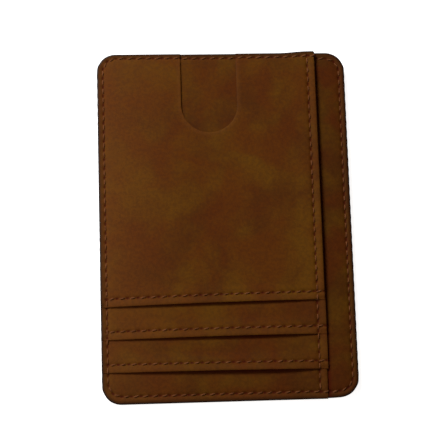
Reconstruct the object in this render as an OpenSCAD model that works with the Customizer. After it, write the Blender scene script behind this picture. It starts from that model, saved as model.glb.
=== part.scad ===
// Slim card wallet of waxed leather: two stacks of card pockets, sewn back to back
// round a centre pocket. It lies on its back panel, with its front face towards +Z
// and the closed end of the card pockets towards +Y.

/* [Outline] */
// Width of the wallet
body_w = 80; // [76:0.5:90]
// Height of each layer, along the cards
body_h = 111; // [108:0.5:120]
// How far the card stacks are sewn below the full-size layers
stack_drop = 0.5; // [0:0.1:1]
// Radius of the four outer corners
corner_r = 6; // [4:0.5:10]

/* [Card stack] */
// Width of the sewn stack of card panels; the side pocket opens past it
stack_w = 70.3; // [66:0.1:72]
// From the stack's top edge down to the cover's free edge
cover_h = 80.6; // [76:0.1:84]
// Step from one card pocket's mouth to the next
slot_pitch = 10.45; // [8:0.05:12]
// Card pocket's depth, from its stop to its mouth
pocket_depth = 79; // [70:0.5:80]

/* [Thumb notch] */
// Width of the notch in the cover
notch_w = 17.9; // [14:0.1:22]
// From the stack's top edge down to the notch's round end
notch_depth = 26; // [16:0.5:32]
// From the left edge to the notch's middle
notch_from_left = 35.6; // [28:0.1:40]

/* [Clear window] */
// Width of the window in the back panel
window_w = 50; // [40:1:52]
// Height of the window
window_h = 70; // [60:1:76]
// Radius of the window's corners
window_r = 4; // [2:0.5:6]
// From the stack's top edge down to the window
window_from_top = 9.5; // [8:0.5:12]

/* [Thicknesses] */
// Leather of the cover and of the window frame
cover_t = 0.6; // [0.5:0.05:1]
// Skived leather of the inner card panels
slot_t = 0.45; // [0.45:0.05:0.8]
// Leather of the two full-size carriers
carrier_t = 0.6; // [0.5:0.05:0.9]
// Cloth lining of the centre pocket
lining_t = 0.15; // [0.1:0.01:0.3]
// Metallised shield foil
shield_t = 0.05; // [0.03:0.01:0.1]
// Clear window film
window_t = 0.2; // [0.15:0.01:0.4]
// Glue tape that holds two layers along their sewn edges
tape_t = 0.1; // [0.1:0.01:0.2]
// Leather welt between the two halves
welt_t = 0.3; // [0.2:0.05:0.5]

/* [Seams] */
// From the full-size layers' edge to the edge seam
edge_inset = 1.9; // [1.8:0.1:3]
// From a pocket's free edge to the seam along it
slot_inset = 2.5; // [2:0.1:3.5]
// From the stack's right edge to the seam that closes it
stack_inset = 2.7; // [2:0.1:3.5]
// From the window to the seam round it
window_inset = 1.8; // [1.5:0.1:3]
// Length of a stitch and the gap after it
stitch_pitch = 3.1; // [2.5:0.1:4]
// Length of thread that shows in each stitch
stitch_len = 2.4; // [1.8:0.1:2.4]
// Thickness of the thread
thread_d = 0.3; // [0.25:0.01:0.3]
// Width of the channel that the stitches lie in
groove_w = 0.8; // [0.6:0.05:1]
// Width of the glued edge of each pocket
tape_w = 3.6; // [3.2:0.1:4.5]

/* [Hidden] */
$fn = 48;

leather = "#5f3714";
inner_leather = "#4e2a0f";
thread = "#b5793f";
lining = "#2d2119";
foil = "#9a9a9e";
clear = [0.85, 0.88, 0.9, 0.45];
tape = "#c9b48a";

past = 1;                      // how far a cutting shape runs past a face
front_groove = 0.2;            // channel depth on the front, so the thread stands a little proud
back_groove = thread_d;        // channel depth on the back, so the thread lies flush
lining_inset = 0.6;            // the linings stop short of the painted edge
shield_inset = edge_inset + 2; // the foils stop inside the edge seam
film_inset = 0.8;              // the window film stops short of the frame's edges
tape_inset = 0.3;              // the tapes stop short of the edges

left = -body_w / 2;
right = body_w / 2;
// The card stacks' ends, and the middles of the stacks and of the full-size layers
top = (body_h - stack_drop) / 2;
bottom = -(body_h + stack_drop) / 2;
stack_y = -stack_drop / 2;
full_y = stack_drop / 2;
stack_right = left + stack_w;
stack_middle = (left + stack_right) / 2;
notch_x = left + notch_from_left;
window_middle = top - window_from_top - window_h / 2;
seam_h = body_h - 2 * edge_inset; // height of the edge seam's rectangle

// Free edges of the card panels, from the outermost one inwards
cover_edge = top - cover_h;
slot_2_edge = cover_edge - slot_pitch;
slot_3_edge = slot_2_edge - slot_pitch;

// The layers, from the back face up
frame_z = 0;
window_film_z = frame_z + cover_t;
window_tape_z = window_film_z + window_t;
back_slot_z = window_tape_z + tape_t;
back_card_tape_z = back_slot_z + slot_t;
back_base_z = back_card_tape_z + tape_t;
back_side_tape_z = back_base_z + slot_t;
back_carrier_z = back_side_tape_z + tape_t;
back_shield_z = back_carrier_z + carrier_t;
back_lining_z = back_shield_z + shield_t;
welt_z = back_lining_z + lining_t;
front_lining_z = welt_z + welt_t;
front_shield_z = front_lining_z + lining_t;
front_carrier_z = front_shield_z + shield_t;
front_side_tape_z = front_carrier_z + carrier_t;
front_base_z = front_side_tape_z + tape_t;
pocket_3_tape_z = front_base_z + slot_t;
slot_3_z = pocket_3_tape_z + tape_t;
pocket_2_tape_z = slot_3_z + slot_t;
slot_2_z = pocket_2_tape_z + tape_t;
pocket_1_tape_z = slot_2_z + slot_t;
cover_z = pocket_1_tape_z + tape_t;

function in_notch(x, y) = abs(x - notch_x) < notch_w / 2 && y > top - notch_depth;

// Height of the outermost leather face at a point, on the front and on the back
function front_face(x, y) =
    x > stack_right ? front_side_tape_z
    : y < slot_3_edge ? pocket_3_tape_z
    : y < slot_2_edge ? pocket_2_tape_z
    : y < cover_edge || in_notch(x, y) ? pocket_1_tape_z
    : cover_z + cover_t;
function back_face(x, y) =
    x > stack_right ? back_carrier_z
    : y < slot_3_edge ? back_base_z
    : y < slot_2_edge ? back_slot_z
    : frame_z;
// Height of the thread's middle in its channel
function thread_z(x, y, front) =
    front ? front_face(x, y) - front_groove + thread_d / 2
    : back_face(x, y) + back_groove - thread_d / 2;

// ---- Flat shapes ----

module rounded_rect(w, h, r) {
    square([w - 2 * r, h], center = true);
    square([w, h - 2 * r], center = true);
    for (x = [-1, 1], y = [-1, 1])
        translate([x * (w / 2 - r), y * (h / 2 - r)]) circle(r = r);
}

// The outline of a layer, centred on a height along Y
module outline(middle_y, inset = 0) {
    translate([0, middle_y])
        rounded_rect(body_w - 2 * inset, body_h - 2 * inset, corner_r - inset);
}

// Everything left of x_right and above y_edge
module above(y_edge, x_right = stack_right) {
    translate([left - past, y_edge])
        square([x_right - left + past, top - y_edge + past]);
}

// The stack's outline down to a free edge
module stack_outline(y_edge, inset = 0) {
    intersection() {
        outline(stack_y, inset);
        above(y_edge, stack_right - inset);
    }
}

module notch_shape() {
    translate([notch_x, top - notch_depth + notch_w / 2]) {
        circle(d = notch_w);
        translate([-notch_w / 2, 0]) square([notch_w, notch_depth]);
    }
}

module rounded_ring(w, h, r, line) {
    difference() {
        rounded_rect(w + line, h + line, r + line / 2);
        rounded_rect(w - line, h - line, r - line / 2);
    }
}

module edge_line() {
    translate([0, full_y]) rounded_ring(body_w - 2 * edge_inset, body_h - 2 * edge_inset, corner_r - edge_inset, groove_w);
}

module stack_line() {
    translate([stack_right - stack_inset - groove_w / 2, full_y - seam_h / 2])
        square([groove_w, seam_h]);
}

module slot_line(y_edge) {
    translate([left + edge_inset, y_edge + slot_inset - groove_w / 2])
        square([stack_w - edge_inset, groove_w]);
}

module window_line() {
    translate([stack_middle, window_middle])
        rounded_ring(window_w + 2 * window_inset, window_h + 2 * window_inset,
            window_r + window_inset, groove_w);
}

// ---- Solids that several pieces share ----

module layer(z, t) {
    translate([0, 0, z]) linear_extrude(t) children();
}

// A channel in the upper or lower face of a layer
module channel(z, t, front) {
    depth = front ? front_groove : back_groove;
    translate([0, 0, front ? z + t - depth : z - past])
        linear_extrude(depth + past) children();
}

// The strip of a card panel that shows below the panel above it, with its seams
module shown_lines(y_edge, y_above) {
    intersection() {
        union() {
            edge_line();
            stack_line();
            if (y_edge > bottom) slot_line(y_edge);
        }
        translate([left - past, y_edge - past])
            square([stack_w + past, y_above - y_edge + past]);
    }
}

// A card panel: the stack's outline down to its free edge, with the channels on its outer face
module card_panel(z, t, y_edge, y_above, front) {
    difference() {
        layer(z, t) stack_outline(y_edge);
        channel(z, t, front) shown_lines(y_edge, y_above);
    }
}

// A full-size leather layer, with the channel of the edge seam where it shows
module carrier(z, front) {
    difference() {
        layer(z, carrier_t) outline(full_y);
        channel(z, carrier_t, front) intersection() {
            edge_line();
            translate([stack_right, bottom]) square([right - stack_right, body_h + stack_drop]);
        }
    }
}

// Glue tape along the sewn edges of a card pocket, with a stop across it
module pocket_tape(z, y_edge) {
    stop_y = y_edge + pocket_depth;
    layer(z, tape_t) difference() {
        stack_outline(y_edge + tape_inset, tape_inset);
        translate([left + tape_w, y_edge])
            square([stack_w - tape_w - tape_w, stop_y - y_edge]);
        if (stop_y + tape_w < top - tape_w)
            translate([left + tape_w, stop_y + tape_w])
                square([stack_w - tape_w - tape_w, top - stop_y - 2 * tape_w]);
    }
}

// Tape or welt along the left, top and bottom of a pocket that opens to the right
module side_tape(z, t, middle_y, x_right) {
    layer(z, t) difference() {
        intersection() {
            outline(middle_y, tape_inset);
            above(middle_y - body_h / 2, x_right);
        }
        translate([left + tape_w, middle_y - body_h / 2 + tape_w])
            square([body_w, body_h - 2 * tape_w]);
    }
}

// ---- Stitches ----

module stitch(x, y, turn, front) {
    translate([x, y, thread_z(x, y, front)]) rotate([0, 90, turn])
        cylinder(d = thread_d, h = stitch_len, center = true);
}

// A straight row of stitches between two points
module stitch_row(from, to, front) {
    span = norm(to - from);
    count = max(1, round(span / stitch_pitch));
    turn = atan2(to.y - from.y, to.x - from.x);
    for (i = [0:count - 1]) {
        at = from + (to - from) * (i + 0.5) / count;
        stitch(at.x, at.y, turn, front);
    }
}

// Stitches round a quarter of a circle that starts at an angle
module stitch_corner(middle, r, start, front) {
    count = max(1, round(r * PI / 2 / stitch_pitch));
    for (i = [0:count - 1]) {
        a = start + 90 * (i + 0.5) / count;
        stitch(middle.x + r * cos(a), middle.y + r * sin(a), a + 90, front);
    }
}

// Stitches round all four corners of a rectangle, given its corner circles' half spacing
module stitch_corners(middle, half, r, front) {
    for (i = [0:3]) {
        at = middle + [(i == 0 || i == 3 ? 1 : -1) * half.x, (i < 2 ? 1 : -1) * half.y];
        stitch_corner(at, r, 90 * i, front);
    }
}

// The edge seam along the left, top and bottom, with all four corners
module edge_stitches(front) {
    x = body_w / 2 - corner_r;
    y = body_h / 2 - corner_r;
    r = corner_r - edge_inset;
    middle = [0, full_y];
    stitch_row(middle + [-x, y + r], middle + [x, y + r], front);
    stitch_row(middle + [-x, -y - r], middle + [x, -y - r], front);
    stitch_row(middle + [-x - r, -y], middle + [-x - r, y], front);
    stitch_corners(middle, [x, y], r, front);
}

// The seam along the right edge, which joins only the layers of one half
module mouth_stitches(front) {
    x = right - edge_inset;
    y = body_h / 2 - corner_r;
    stitch_row([x, full_y - y], [x, full_y + y], front);
}

// The seam that closes the right side of a card stack
module stack_stitches(front) {
    x = stack_right - stack_inset;
    y = seam_h / 2 - groove_w;
    stitch_row([x, full_y - y], [x, full_y + y], front);
}

// The seam along a card panel's free edge, left of the stack's own seam
module slot_stitches(y_edge, front) {
    y = y_edge + slot_inset;
    stitch_row([left + edge_inset + groove_w, y], [stack_right - stack_inset - groove_w, y], front);
}

// ---- Front half ----

module front_cover() {
    color(leather) difference() {
        card_panel(cover_z, cover_t, cover_edge, top + past, true);
        layer(cover_z - past, cover_t + 2 * past) notch_shape();
    }
}

module front_slot_panel_2() {
    color(leather) difference() {
        card_panel(slot_2_z, slot_t, slot_2_edge, cover_edge, true);
        channel(slot_2_z, slot_t, true) intersection() {
            edge_line();
            notch_shape();
        }
    }
}

module front_slot_panel_3() {
    color(leather) card_panel(slot_3_z, slot_t, slot_3_edge, slot_2_edge, true);
}

module front_base_panel() {
    color(leather) card_panel(front_base_z, slot_t, bottom, slot_3_edge, true);
}

module front_carrier() {
    color(leather) carrier(front_carrier_z, true);
}

module front_shield_foil() {
    color(foil) layer(front_shield_z, shield_t) outline(full_y, shield_inset);
}

module front_lining() {
    color(lining) layer(front_lining_z, lining_t) outline(full_y, lining_inset);
}

module centre_welt() {
    color(inner_leather) side_tape(welt_z, welt_t, full_y, right - corner_r);
}

// ---- Back half ----

module back_lining() {
    color(lining) layer(back_lining_z, lining_t) outline(full_y, lining_inset);
}

module back_shield_foil() {
    color(foil) layer(back_shield_z, shield_t) outline(full_y, shield_inset);
}

module back_carrier() {
    color(leather) carrier(back_carrier_z, false);
}

module back_base_panel() {
    color(leather) card_panel(back_base_z, slot_t, bottom, slot_3_edge, false);
}

module back_slot_panel() {
    color(leather) card_panel(back_slot_z, slot_t, slot_3_edge, slot_2_edge, false);
}

module window_film() {
    color(clear) layer(window_film_z, window_t)
        stack_outline(slot_2_edge + 2 * slot_inset, film_inset);
}

module window_frame() {
    color(leather) difference() {
        card_panel(frame_z, cover_t, slot_2_edge, top + past, false);
        channel(frame_z, cover_t, false) window_line();
        layer(frame_z - past, cover_t + 2 * past)
            translate([stack_middle, window_middle]) rounded_rect(window_w, window_h, window_r);
    }
}

// ---- Glue tapes ----

module card_pocket_1_tape() {
    color(tape) difference() {
        pocket_tape(pocket_1_tape_z, cover_edge);
        layer(pocket_1_tape_z - past, tape_t + 2 * past) notch_shape();
    }
}

module card_pocket_2_tape() {
    color(tape) pocket_tape(pocket_2_tape_z, slot_2_edge);
}

module card_pocket_3_tape() {
    color(tape) pocket_tape(pocket_3_tape_z, slot_3_edge);
}

module front_side_pocket_tape() {
    color(tape) side_tape(front_side_tape_z, tape_t, stack_y, stack_right - tape_inset);
}

module back_side_pocket_tape() {
    color(tape) side_tape(back_side_tape_z, tape_t, stack_y, stack_right - tape_inset);
}

module back_card_pocket_tape() {
    color(tape) pocket_tape(back_card_tape_z, slot_3_edge);
}

module window_pocket_tape() {
    color(tape) pocket_tape(window_tape_z, slot_2_edge);
}

// ---- Threads ----

module edge_seam_front() {
    color(thread) edge_stitches(true);
}

module edge_seam_back() {
    color(thread) edge_stitches(false);
}

module mouth_seam_front() {
    color(thread) mouth_stitches(true);
}

module mouth_seam_back() {
    color(thread) mouth_stitches(false);
}

module stack_seam_front() {
    color(thread) stack_stitches(true);
}

module stack_seam_back() {
    color(thread) stack_stitches(false);
}

module slot_seam_1() {
    color(thread) slot_stitches(cover_edge, true);
}

module slot_seam_2() {
    color(thread) slot_stitches(slot_2_edge, true);
}

module slot_seam_3() {
    color(thread) slot_stitches(slot_3_edge, true);
}

module back_slot_seam_1() {
    color(thread) slot_stitches(slot_2_edge, false);
}

module back_slot_seam_2() {
    color(thread) slot_stitches(slot_3_edge, false);
}

module window_seam() {
    x = window_w / 2 - window_r;
    y = window_h / 2 - window_r;
    r = window_r + window_inset;
    middle = [stack_middle, window_middle];
    color(thread) {
        for (side = [-1, 1]) {
            stitch_row(middle + [-x, side * (y + r)], middle + [x, side * (y + r)], false);
            stitch_row(middle + [side * (x + r), -y], middle + [side * (x + r), y], false);
        }
        stitch_corners(middle, [x, y], r, false);
    }
}

front_cover();
front_slot_panel_2();
front_slot_panel_3();
front_base_panel();
front_carrier();
front_shield_foil();
front_lining();
centre_welt();
back_lining();
back_shield_foil();
back_carrier();
back_base_panel();
back_slot_panel();
window_film();
window_frame();
card_pocket_1_tape();
card_pocket_2_tape();
card_pocket_3_tape();
front_side_pocket_tape();
back_side_pocket_tape();
back_card_pocket_tape();
window_pocket_tape();
edge_seam_front();
edge_seam_back();
mouth_seam_front();
mouth_seam_back();
stack_seam_front();
stack_seam_back();
slot_seam_1();
slot_seam_2();
slot_seam_3();
back_slot_seam_1();
back_slot_seam_2();
window_seam();
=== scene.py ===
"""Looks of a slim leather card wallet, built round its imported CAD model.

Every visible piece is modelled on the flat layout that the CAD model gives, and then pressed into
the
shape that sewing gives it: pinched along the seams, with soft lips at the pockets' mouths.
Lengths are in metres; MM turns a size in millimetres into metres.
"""

import logging
import math
from dataclasses import dataclass, field
from enum import Enum
from functools import lru_cache
from typing import Callable

import bpy
import numpy as np
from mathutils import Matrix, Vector


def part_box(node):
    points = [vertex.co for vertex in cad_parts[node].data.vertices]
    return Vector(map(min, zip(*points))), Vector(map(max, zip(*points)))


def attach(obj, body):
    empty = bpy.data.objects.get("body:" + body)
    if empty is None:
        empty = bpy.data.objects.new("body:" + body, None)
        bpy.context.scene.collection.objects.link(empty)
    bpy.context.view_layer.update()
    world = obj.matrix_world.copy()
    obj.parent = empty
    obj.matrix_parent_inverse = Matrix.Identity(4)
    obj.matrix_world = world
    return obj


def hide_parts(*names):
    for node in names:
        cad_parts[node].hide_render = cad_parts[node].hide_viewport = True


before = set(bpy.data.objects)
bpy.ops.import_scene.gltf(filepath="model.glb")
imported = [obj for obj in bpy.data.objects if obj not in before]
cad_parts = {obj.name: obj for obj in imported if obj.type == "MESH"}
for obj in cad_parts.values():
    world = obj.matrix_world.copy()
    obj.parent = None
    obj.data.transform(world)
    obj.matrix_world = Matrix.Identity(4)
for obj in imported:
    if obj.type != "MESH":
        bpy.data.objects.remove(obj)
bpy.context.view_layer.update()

MM = 0.001
TABLE_GAP = 0.01 * MM  # how far the wallet's lowest face lies over the table
BODY = "root"
LOG = logging.getLogger("wallet")
Points = np.ndarray


class Side(Enum):
    """The face of the wallet that a piece shows on."""

    FRONT = 1
    BACK = -1


class Coat(Enum):
    """What a face of a leather layer is covered with, by material slot."""

    HIDE = 0
    PAINT = 1
    RAW = 2


# ---------------------------------------------------------------------------
# The layout, read from the CAD model
# ---------------------------------------------------------------------------


@lru_cache(maxsize=None)
def node_box(node: str) -> tuple[Vector, Vector]:
    """The lowest and highest corners of a CAD node, measured once."""
    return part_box(node)


@dataclass(frozen=True)
class Rect:
    """An upright rectangle with rounded corners, seen from the front.

    Attributes:
        x0: left side.
        y0: lower side.
        x1: right side.
        y1: upper side.
        radius: radius of its corners.
    """

    x0: float
    y0: float
    x1: float
    y1: float
    radius: float = 0.0

    @classmethod
    def of(cls, node: str, radius: float = 0.0) -> "Rect":
        """The rectangle round a CAD node."""
        low, high = node_box(node)
        return cls(low[0], low[1], high[0], high[1], radius)

    @property
    def middle(self) -> tuple[float, float]:
        """The rectangle's middle."""
        return (self.x0 + self.x1) / 2, (self.y0 + self.y1) / 2

    def grown(self, by: float) -> "Rect":
        """The rectangle moved out by a distance, its corners with it."""
        radius = max(self.radius + by, 0.0)
        return Rect(self.x0 - by, self.y0 - by, self.x1 + by, self.y1 + by, radius)

    def distance(self, x: Points, y: Points) -> Points:
        """Signed distance to the outline, negative inside."""
        cx, cy = self.middle
        qx = np.abs(x - cx) - ((self.x1 - self.x0) / 2 - self.radius)
        qy = np.abs(y - cy) - ((self.y1 - self.y0) / 2 - self.radius)
        outside = np.hypot(np.maximum(qx, 0), np.maximum(qy, 0))
        return outside + np.minimum(np.maximum(qx, qy), 0) - self.radius


def height_of(node: str) -> tuple[float, float]:
    """The lower and upper height of a CAD node."""
    low, high = node_box(node)
    return low[2], high[2]


def bump(distance: Points, width: float) -> Points:
    """A soft bump: 1 at distance 0, falling off over a width."""
    return np.exp(-((distance / width) ** 2))


def ease(value: Points) -> Points:
    """A smooth step from 0 at 0 to 1 at 1."""
    t = np.clip(value, 0, 1)
    return t * t * (3 - 2 * t)


@dataclass(frozen=True)
class Layout:
    """Where the wallet's edges, mouths and seams lie when it is flat."""

    corner: float = 6 * MM
    notch_width: float = 17.9 * MM
    notch_depth: float = 26 * MM
    notch_from_left: float = 35.6 * MM
    window_width: float = 50 * MM
    window_height: float = 70 * MM
    window_corner: float = 4 * MM
    window_from_top: float = 9.5 * MM
    edge_inset: float = 1.9 * MM
    lip_inset: float = 2.5 * MM
    stack_inset: float = 2.7 * MM
    window_inset: float = 1.8 * MM

    @property
    def full(self) -> Rect:
        """Outline of the full-size layers."""
        return Rect.of("front_carrier", self.corner)

    @property
    def stack(self) -> Rect:
        """Box of the card stacks."""
        return Rect.of("front_base_panel")

    @property
    def stack_outline(self) -> Rect:
        """The rounded outline that the stacks are cut from, before their right side is cut off."""
        low, high = self.stack, self.full
        return Rect(low.x0, low.y0, high.x1, low.y1, self.corner)

    @property
    def seam_ring(self) -> Rect:
        """The rectangle that the edge seam follows."""
        return self.full.grown(-self.edge_inset)

    @property
    def stack_seam_x(self) -> float:
        """Where the seam along the stacks' right side lies."""
        return self.stack.x1 - self.stack_inset

    @property
    def notch(self) -> Rect:
        """The thumb notch, as a rectangle that runs out past the top edge."""
        x = self.stack.x0 + self.notch_from_left
        top = self.stack.y1
        half = self.notch_width / 2
        return Rect(x - half, top - self.notch_depth, x + half, top + half, half)

    @property
    def window(self) -> Rect:
        """The clear window in the back panel."""
        x, _ = self.stack.middle
        top = self.stack.y1 - self.window_from_top
        half = self.window_width / 2
        return Rect(x - half, top - self.window_height, x + half, top, self.window_corner)


LAYOUT = Layout()


# ---------------------------------------------------------------------------
# The shape that sewing and use give the flat layers
# ---------------------------------------------------------------------------


@dataclass(frozen=True)
class Pressing:
    """Presses flat layers into the wallet's soft shape, keeping their order in height.

    Attributes:
        pinch: share of the thickness that the edge seam presses out at the edge.
        pinch_width: how far in from the edge the pinch reaches.
        wave: height of the slow waves in the front.
        strip_droop: how far the side pocket's long edge hangs down.
        flare: how far the stack's upper corner spreads past its end.
        side_lift: how far the stack's right side stands off the side pocket.
        pucker: how far the edge draws in between stitches.
        draw_down: how far the side pocket's lower edge is drawn to the stack's, next to it.
        flatten: height over which the table flattens what stands out of the back.
        wave_lengths: lengths of the waves across and along, each with the length of its drift.
        wave_fade: how far in from the edge the waves start.
        pucker_step: distance between the draws of neighbouring stitches.
        pucker_reach: how far in from the edge they reach.
        draw_reach: how far round the stack's lower corner the edge is drawn down.
    """

    pinch: float = 0.11
    pinch_width: float = 5 * MM
    wave: float = 0.10 * MM
    strip_droop: float = 0.3 * MM
    flare: float = 0.55 * MM
    side_lift: float = 0.3 * MM
    pucker: float = 0.04 * MM
    draw_down: float = 0.32 * MM
    flatten: float = 0.08 * MM
    wave_lengths: tuple[float, float, float, float] = (17 * MM, 31 * MM, 13 * MM, 22 * MM)
    wave_fade: float = 12 * MM
    pucker_step: float = 3.1 * MM
    pucker_reach: float = 2 * MM
    draw_reach: float = 5 * MM

    def waves(self, x: Points, y: Points) -> Points:
        """Slow waves over the wallet, between -1 and 1."""
        across, across_drift, along, along_drift = self.wave_lengths
        long_wave = np.sin(x / across + 1.3 * np.sin(y / across_drift))
        short_wave = np.sin(y / along - 0.8 * np.cos(x / along_drift) + 0.7)
        return 0.6 * long_wave + 0.4 * short_wave

    def apply(self, points: Points) -> Points:
        """Moves points of any piece from the flat layout to the pressed shape.

        Args:
            points: an array of points, one to a row.

        Returns:
            The moved points.
        """
        x, y, z = points.T
        full = LAYOUT.full
        middle = sum(height_of("centre_welt")) / 2
        top = height_of("front_cover")[1]
        inside = np.maximum(-full.distance(x, y), 0)
        pressed = middle + (z - middle) * (1 - self.pinch * bump(inside, self.pinch_width))
        settle = self.wave * self.waves(x, y) * ease(inside / self.wave_fade)
        pressed = pressed + settle * np.clip(z / top, 0, 1)
        past_stack = (x - LAYOUT.stack.x1) / (full.x1 - LAYOUT.stack.x1)
        pressed = pressed - self.strip_droop * ease(past_stack) ** 2
        pressed = TABLE_GAP + self.flatten * np.logaddexp(0, pressed / self.flatten)
        draw = self.pucker * bump(inside, self.pucker_reach)
        x = x - np.sign(x) * draw * np.cos(2 * math.pi * y / self.pucker_step)
        reach = bump(x - LAYOUT.stack.x1, self.draw_reach)
        low = LAYOUT.stack.y0
        fade = 1 - ease((y - full.y0) / self.draw_reach)
        lower_edge = ease((y - low) / (full.y0 - low)) * fade
        return np.stack([x, y - self.draw_down * reach * lower_edge, pressed], axis=1)


PRESSING = Pressing()


@dataclass(frozen=True)
class Lip:
    """A pocket's free edge: it lifts a little, and is cut slightly out of true.

    Attributes:
        y: height of the free edge along the wallet.
        lift: how far the lip's middle stands off the panel below.
        skew: how far the edge runs out of true, from its left end to its right end.
        bow: how far the edge's middle bows towards the mouth.
        lift_at: where along the edge the lift is largest, from 0 at the left to 1 at the right.
    """

    y: float
    lift: float
    skew: float = 0.0
    bow: float = 0.0
    lift_at: float = 0.5

    SOFT = 6.5 * MM  # how far in from its edge a lip bends up
    STRAIGHT = 3 * MM  # how far in the edge's drift stays whole
    DRIFT_FADE = 6 * MM  # over which the drift then fades
    SHADE_REACH = 0.5 * MM  # how far out of a closed mouth the painted shade under the lip reaches
    SHADE_REACH_OPEN = 1.1  # how much further for each unit that the lip stands open
    SHADE_UNDER = 2 * MM  # how far under the lip the painted shade starts

    def along(self, x: Points) -> Points:
        """How far along the edge a point is, from 0 at the left to 1 at the stack's own seam."""
        left = LAYOUT.stack.x0 + LAYOUT.edge_inset
        return np.clip((x - left) / (LAYOUT.stack_seam_x - left), 0, 1)

    def arch(self, x: Points) -> Points:
        """How far the lip stands open along its edge, from 0 at its ends to 1 at its middle."""
        u, peak = self.along(x), self.lift_at
        warped = np.where(u < peak, u / peak, 2 - (1 - u) / (1 - peak)) / 2
        return np.sin(math.pi * warped) ** 0.8

    def drift(self, x: Points) -> Points:
        """How far the edge runs out of true along the wallet."""
        u = self.along(x)
        return self.skew * (u - 0.5) - self.bow * np.sin(math.pi * u)

    def slit_shade(self, x: Points, y: Points) -> Points:
        """How much painted shade lies on the panel under the mouth, from 0 to 1: a shadow that
        reaches further where the lip stands open.
        """
        away = self.y + self.drift(x) - y
        arch = self.arch(x)
        reach = self.SHADE_REACH + self.SHADE_REACH_OPEN * arch * self.lift
        open_side = 1 - ease((away - 0.1 * MM) / reach)
        return (0.4 + 0.6 * arch) * open_side * ease((away + self.SHADE_UNDER) / MM)

    def apply(self, points: Points, side: Side) -> Points:
        """Moves points near the free edge.

        Args:
            points: an array of points, one to a row.
            side: the face that the lip is on.

        Returns:
            The moved points.
        """
        x, y, z = points.T
        near = 1 - ease((y - self.y) / self.SOFT)
        held = 1 - ease((y - self.y - self.STRAIGHT) / self.DRIFT_FADE)
        rise = side.value * self.lift * self.arch(x) * near
        return np.stack([x, y + self.drift(x) * held, z + rise], axis=1)


def opened(points: Points, side: Side) -> Points:
    """Opens a stack's right side, the side pocket's mouth, and spreads its upper corner.

    Args:
        points: an array of points, one to a row.
        side: the face that the stack is on.

    Returns:
        The moved points.
    """
    x, y, z = points.T
    stack = LAYOUT.stack
    corner_start, corner_run, corner_fade, side_run = 12 * MM, 10 * MM, 3 * MM, 9 * MM
    near_corner = ease((x - (stack.x1 - corner_start)) / corner_run)
    up = bump(stack.y1 - y, corner_fade) * near_corner
    near_side = 1 - ease((stack.x1 - x) / side_run)
    along = np.clip((y - stack.y0) / (stack.y1 - stack.y0), 0, 1)
    lift = PRESSING.side_lift * near_side * np.sin(math.pi * along**0.6) ** 0.4
    if side is Side.BACK:
        lift = -0.2 * lift
    return np.stack([x, y + PRESSING.flare * up, z + lift], axis=1)


# ---------------------------------------------------------------------------
# Seams
# ---------------------------------------------------------------------------


@dataclass(frozen=True)
class Station:
    """A needle hole on a seam: its place and the seam's direction there."""

    x: float
    y: float
    turn: float


@dataclass(frozen=True)
class SeamLine:
    """A straight seam between two points."""

    x0: float
    y0: float
    x1: float
    y1: float
    pitch: float = 3.1 * MM

    def distance(self, x: Points, y: Points) -> Points:
        """Distance from points to the seam."""
        dx, dy = self.x1 - self.x0, self.y1 - self.y0
        t = ((x - self.x0) * dx + (y - self.y0) * dy) / (dx * dx + dy * dy)
        t = np.clip(t, 0, 1)
        return np.hypot(x - self.x0 - t * dx, y - self.y0 - t * dy)

    def stations(self) -> list[Station]:
        """Needle holes from end to end, a pitch apart."""
        length = math.hypot(self.x1 - self.x0, self.y1 - self.y0)
        count = round(length / self.pitch)
        turn = math.atan2(self.y1 - self.y0, self.x1 - self.x0)
        return [
            Station(
                self.x0 + (self.x1 - self.x0) * i / count,
                self.y0 + (self.y1 - self.y0) * i / count,
                turn,
            )
            for i in range(count + 1)
        ]


@dataclass(frozen=True)
class SeamRing:
    """A seam that runs all the way round a rounded rectangle."""

    rect: Rect
    pitch: float = 2.95 * MM

    def distance(self, x: Points, y: Points) -> Points:
        """Distance from points to the seam."""
        return np.abs(self.rect.distance(x, y))

    def place(self, s: float) -> Station:
        """The point a distance along the ring, which starts at the lower left and runs right."""
        r = self.rect
        wide, high = r.x1 - r.x0 - 2 * r.radius, r.y1 - r.y0 - 2 * r.radius
        arc = math.pi / 2 * r.radius
        corners = [
            (r.x0 + r.radius, r.y0 + r.radius),
            (r.x1 - r.radius, r.y0 + r.radius),
            (r.x1 - r.radius, r.y1 - r.radius),
            (r.x0 + r.radius, r.y1 - r.radius),
        ]
        for i, run in enumerate((wide, high, wide, high)):
            turn = i * math.pi / 2
            cx, cy = corners[i]
            out = (math.sin(turn), -math.cos(turn))
            if s <= run:
                x = cx + r.radius * out[0] + s * math.cos(turn)
                y = cy + r.radius * out[1] + s * math.sin(turn)
                return Station(x, y, turn)
            s -= run
            cx, cy = corners[(i + 1) % 4]
            if s <= arc:
                a = turn - math.pi / 2 + s / r.radius
                x, y = cx + r.radius * math.cos(a), cy + r.radius * math.sin(a)
                return Station(x, y, a + math.pi / 2)
            s -= arc
        return self.place(0.0)

    def stations(self) -> list[Station]:
        """Needle holes all the way round, the first one given again at the end."""
        r = self.rect
        wide, high = r.x1 - r.x0 - 2 * r.radius, r.y1 - r.y0 - 2 * r.radius
        length = 2 * (wide + high) + 2 * math.pi * r.radius
        count = round(length / self.pitch)
        return [self.place(length * i / count) for i in range(count)] + [self.place(0.0)]


Path = SeamLine | SeamRing


def lip_seam(lip: Lip) -> SeamLine:
    """The seam along a pocket's free edge."""
    y = lip.y + LAYOUT.lip_inset
    return SeamLine(LAYOUT.seam_ring.x0, y, LAYOUT.stack.x1 - 0.4 * MM, y, 3.22 * MM)


def stack_seam() -> SeamLine:
    """The seam that closes a stack's right side."""
    x, ring = LAYOUT.stack_seam_x, LAYOUT.seam_ring
    return SeamLine(x, ring.y0, x, ring.y1)


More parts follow.
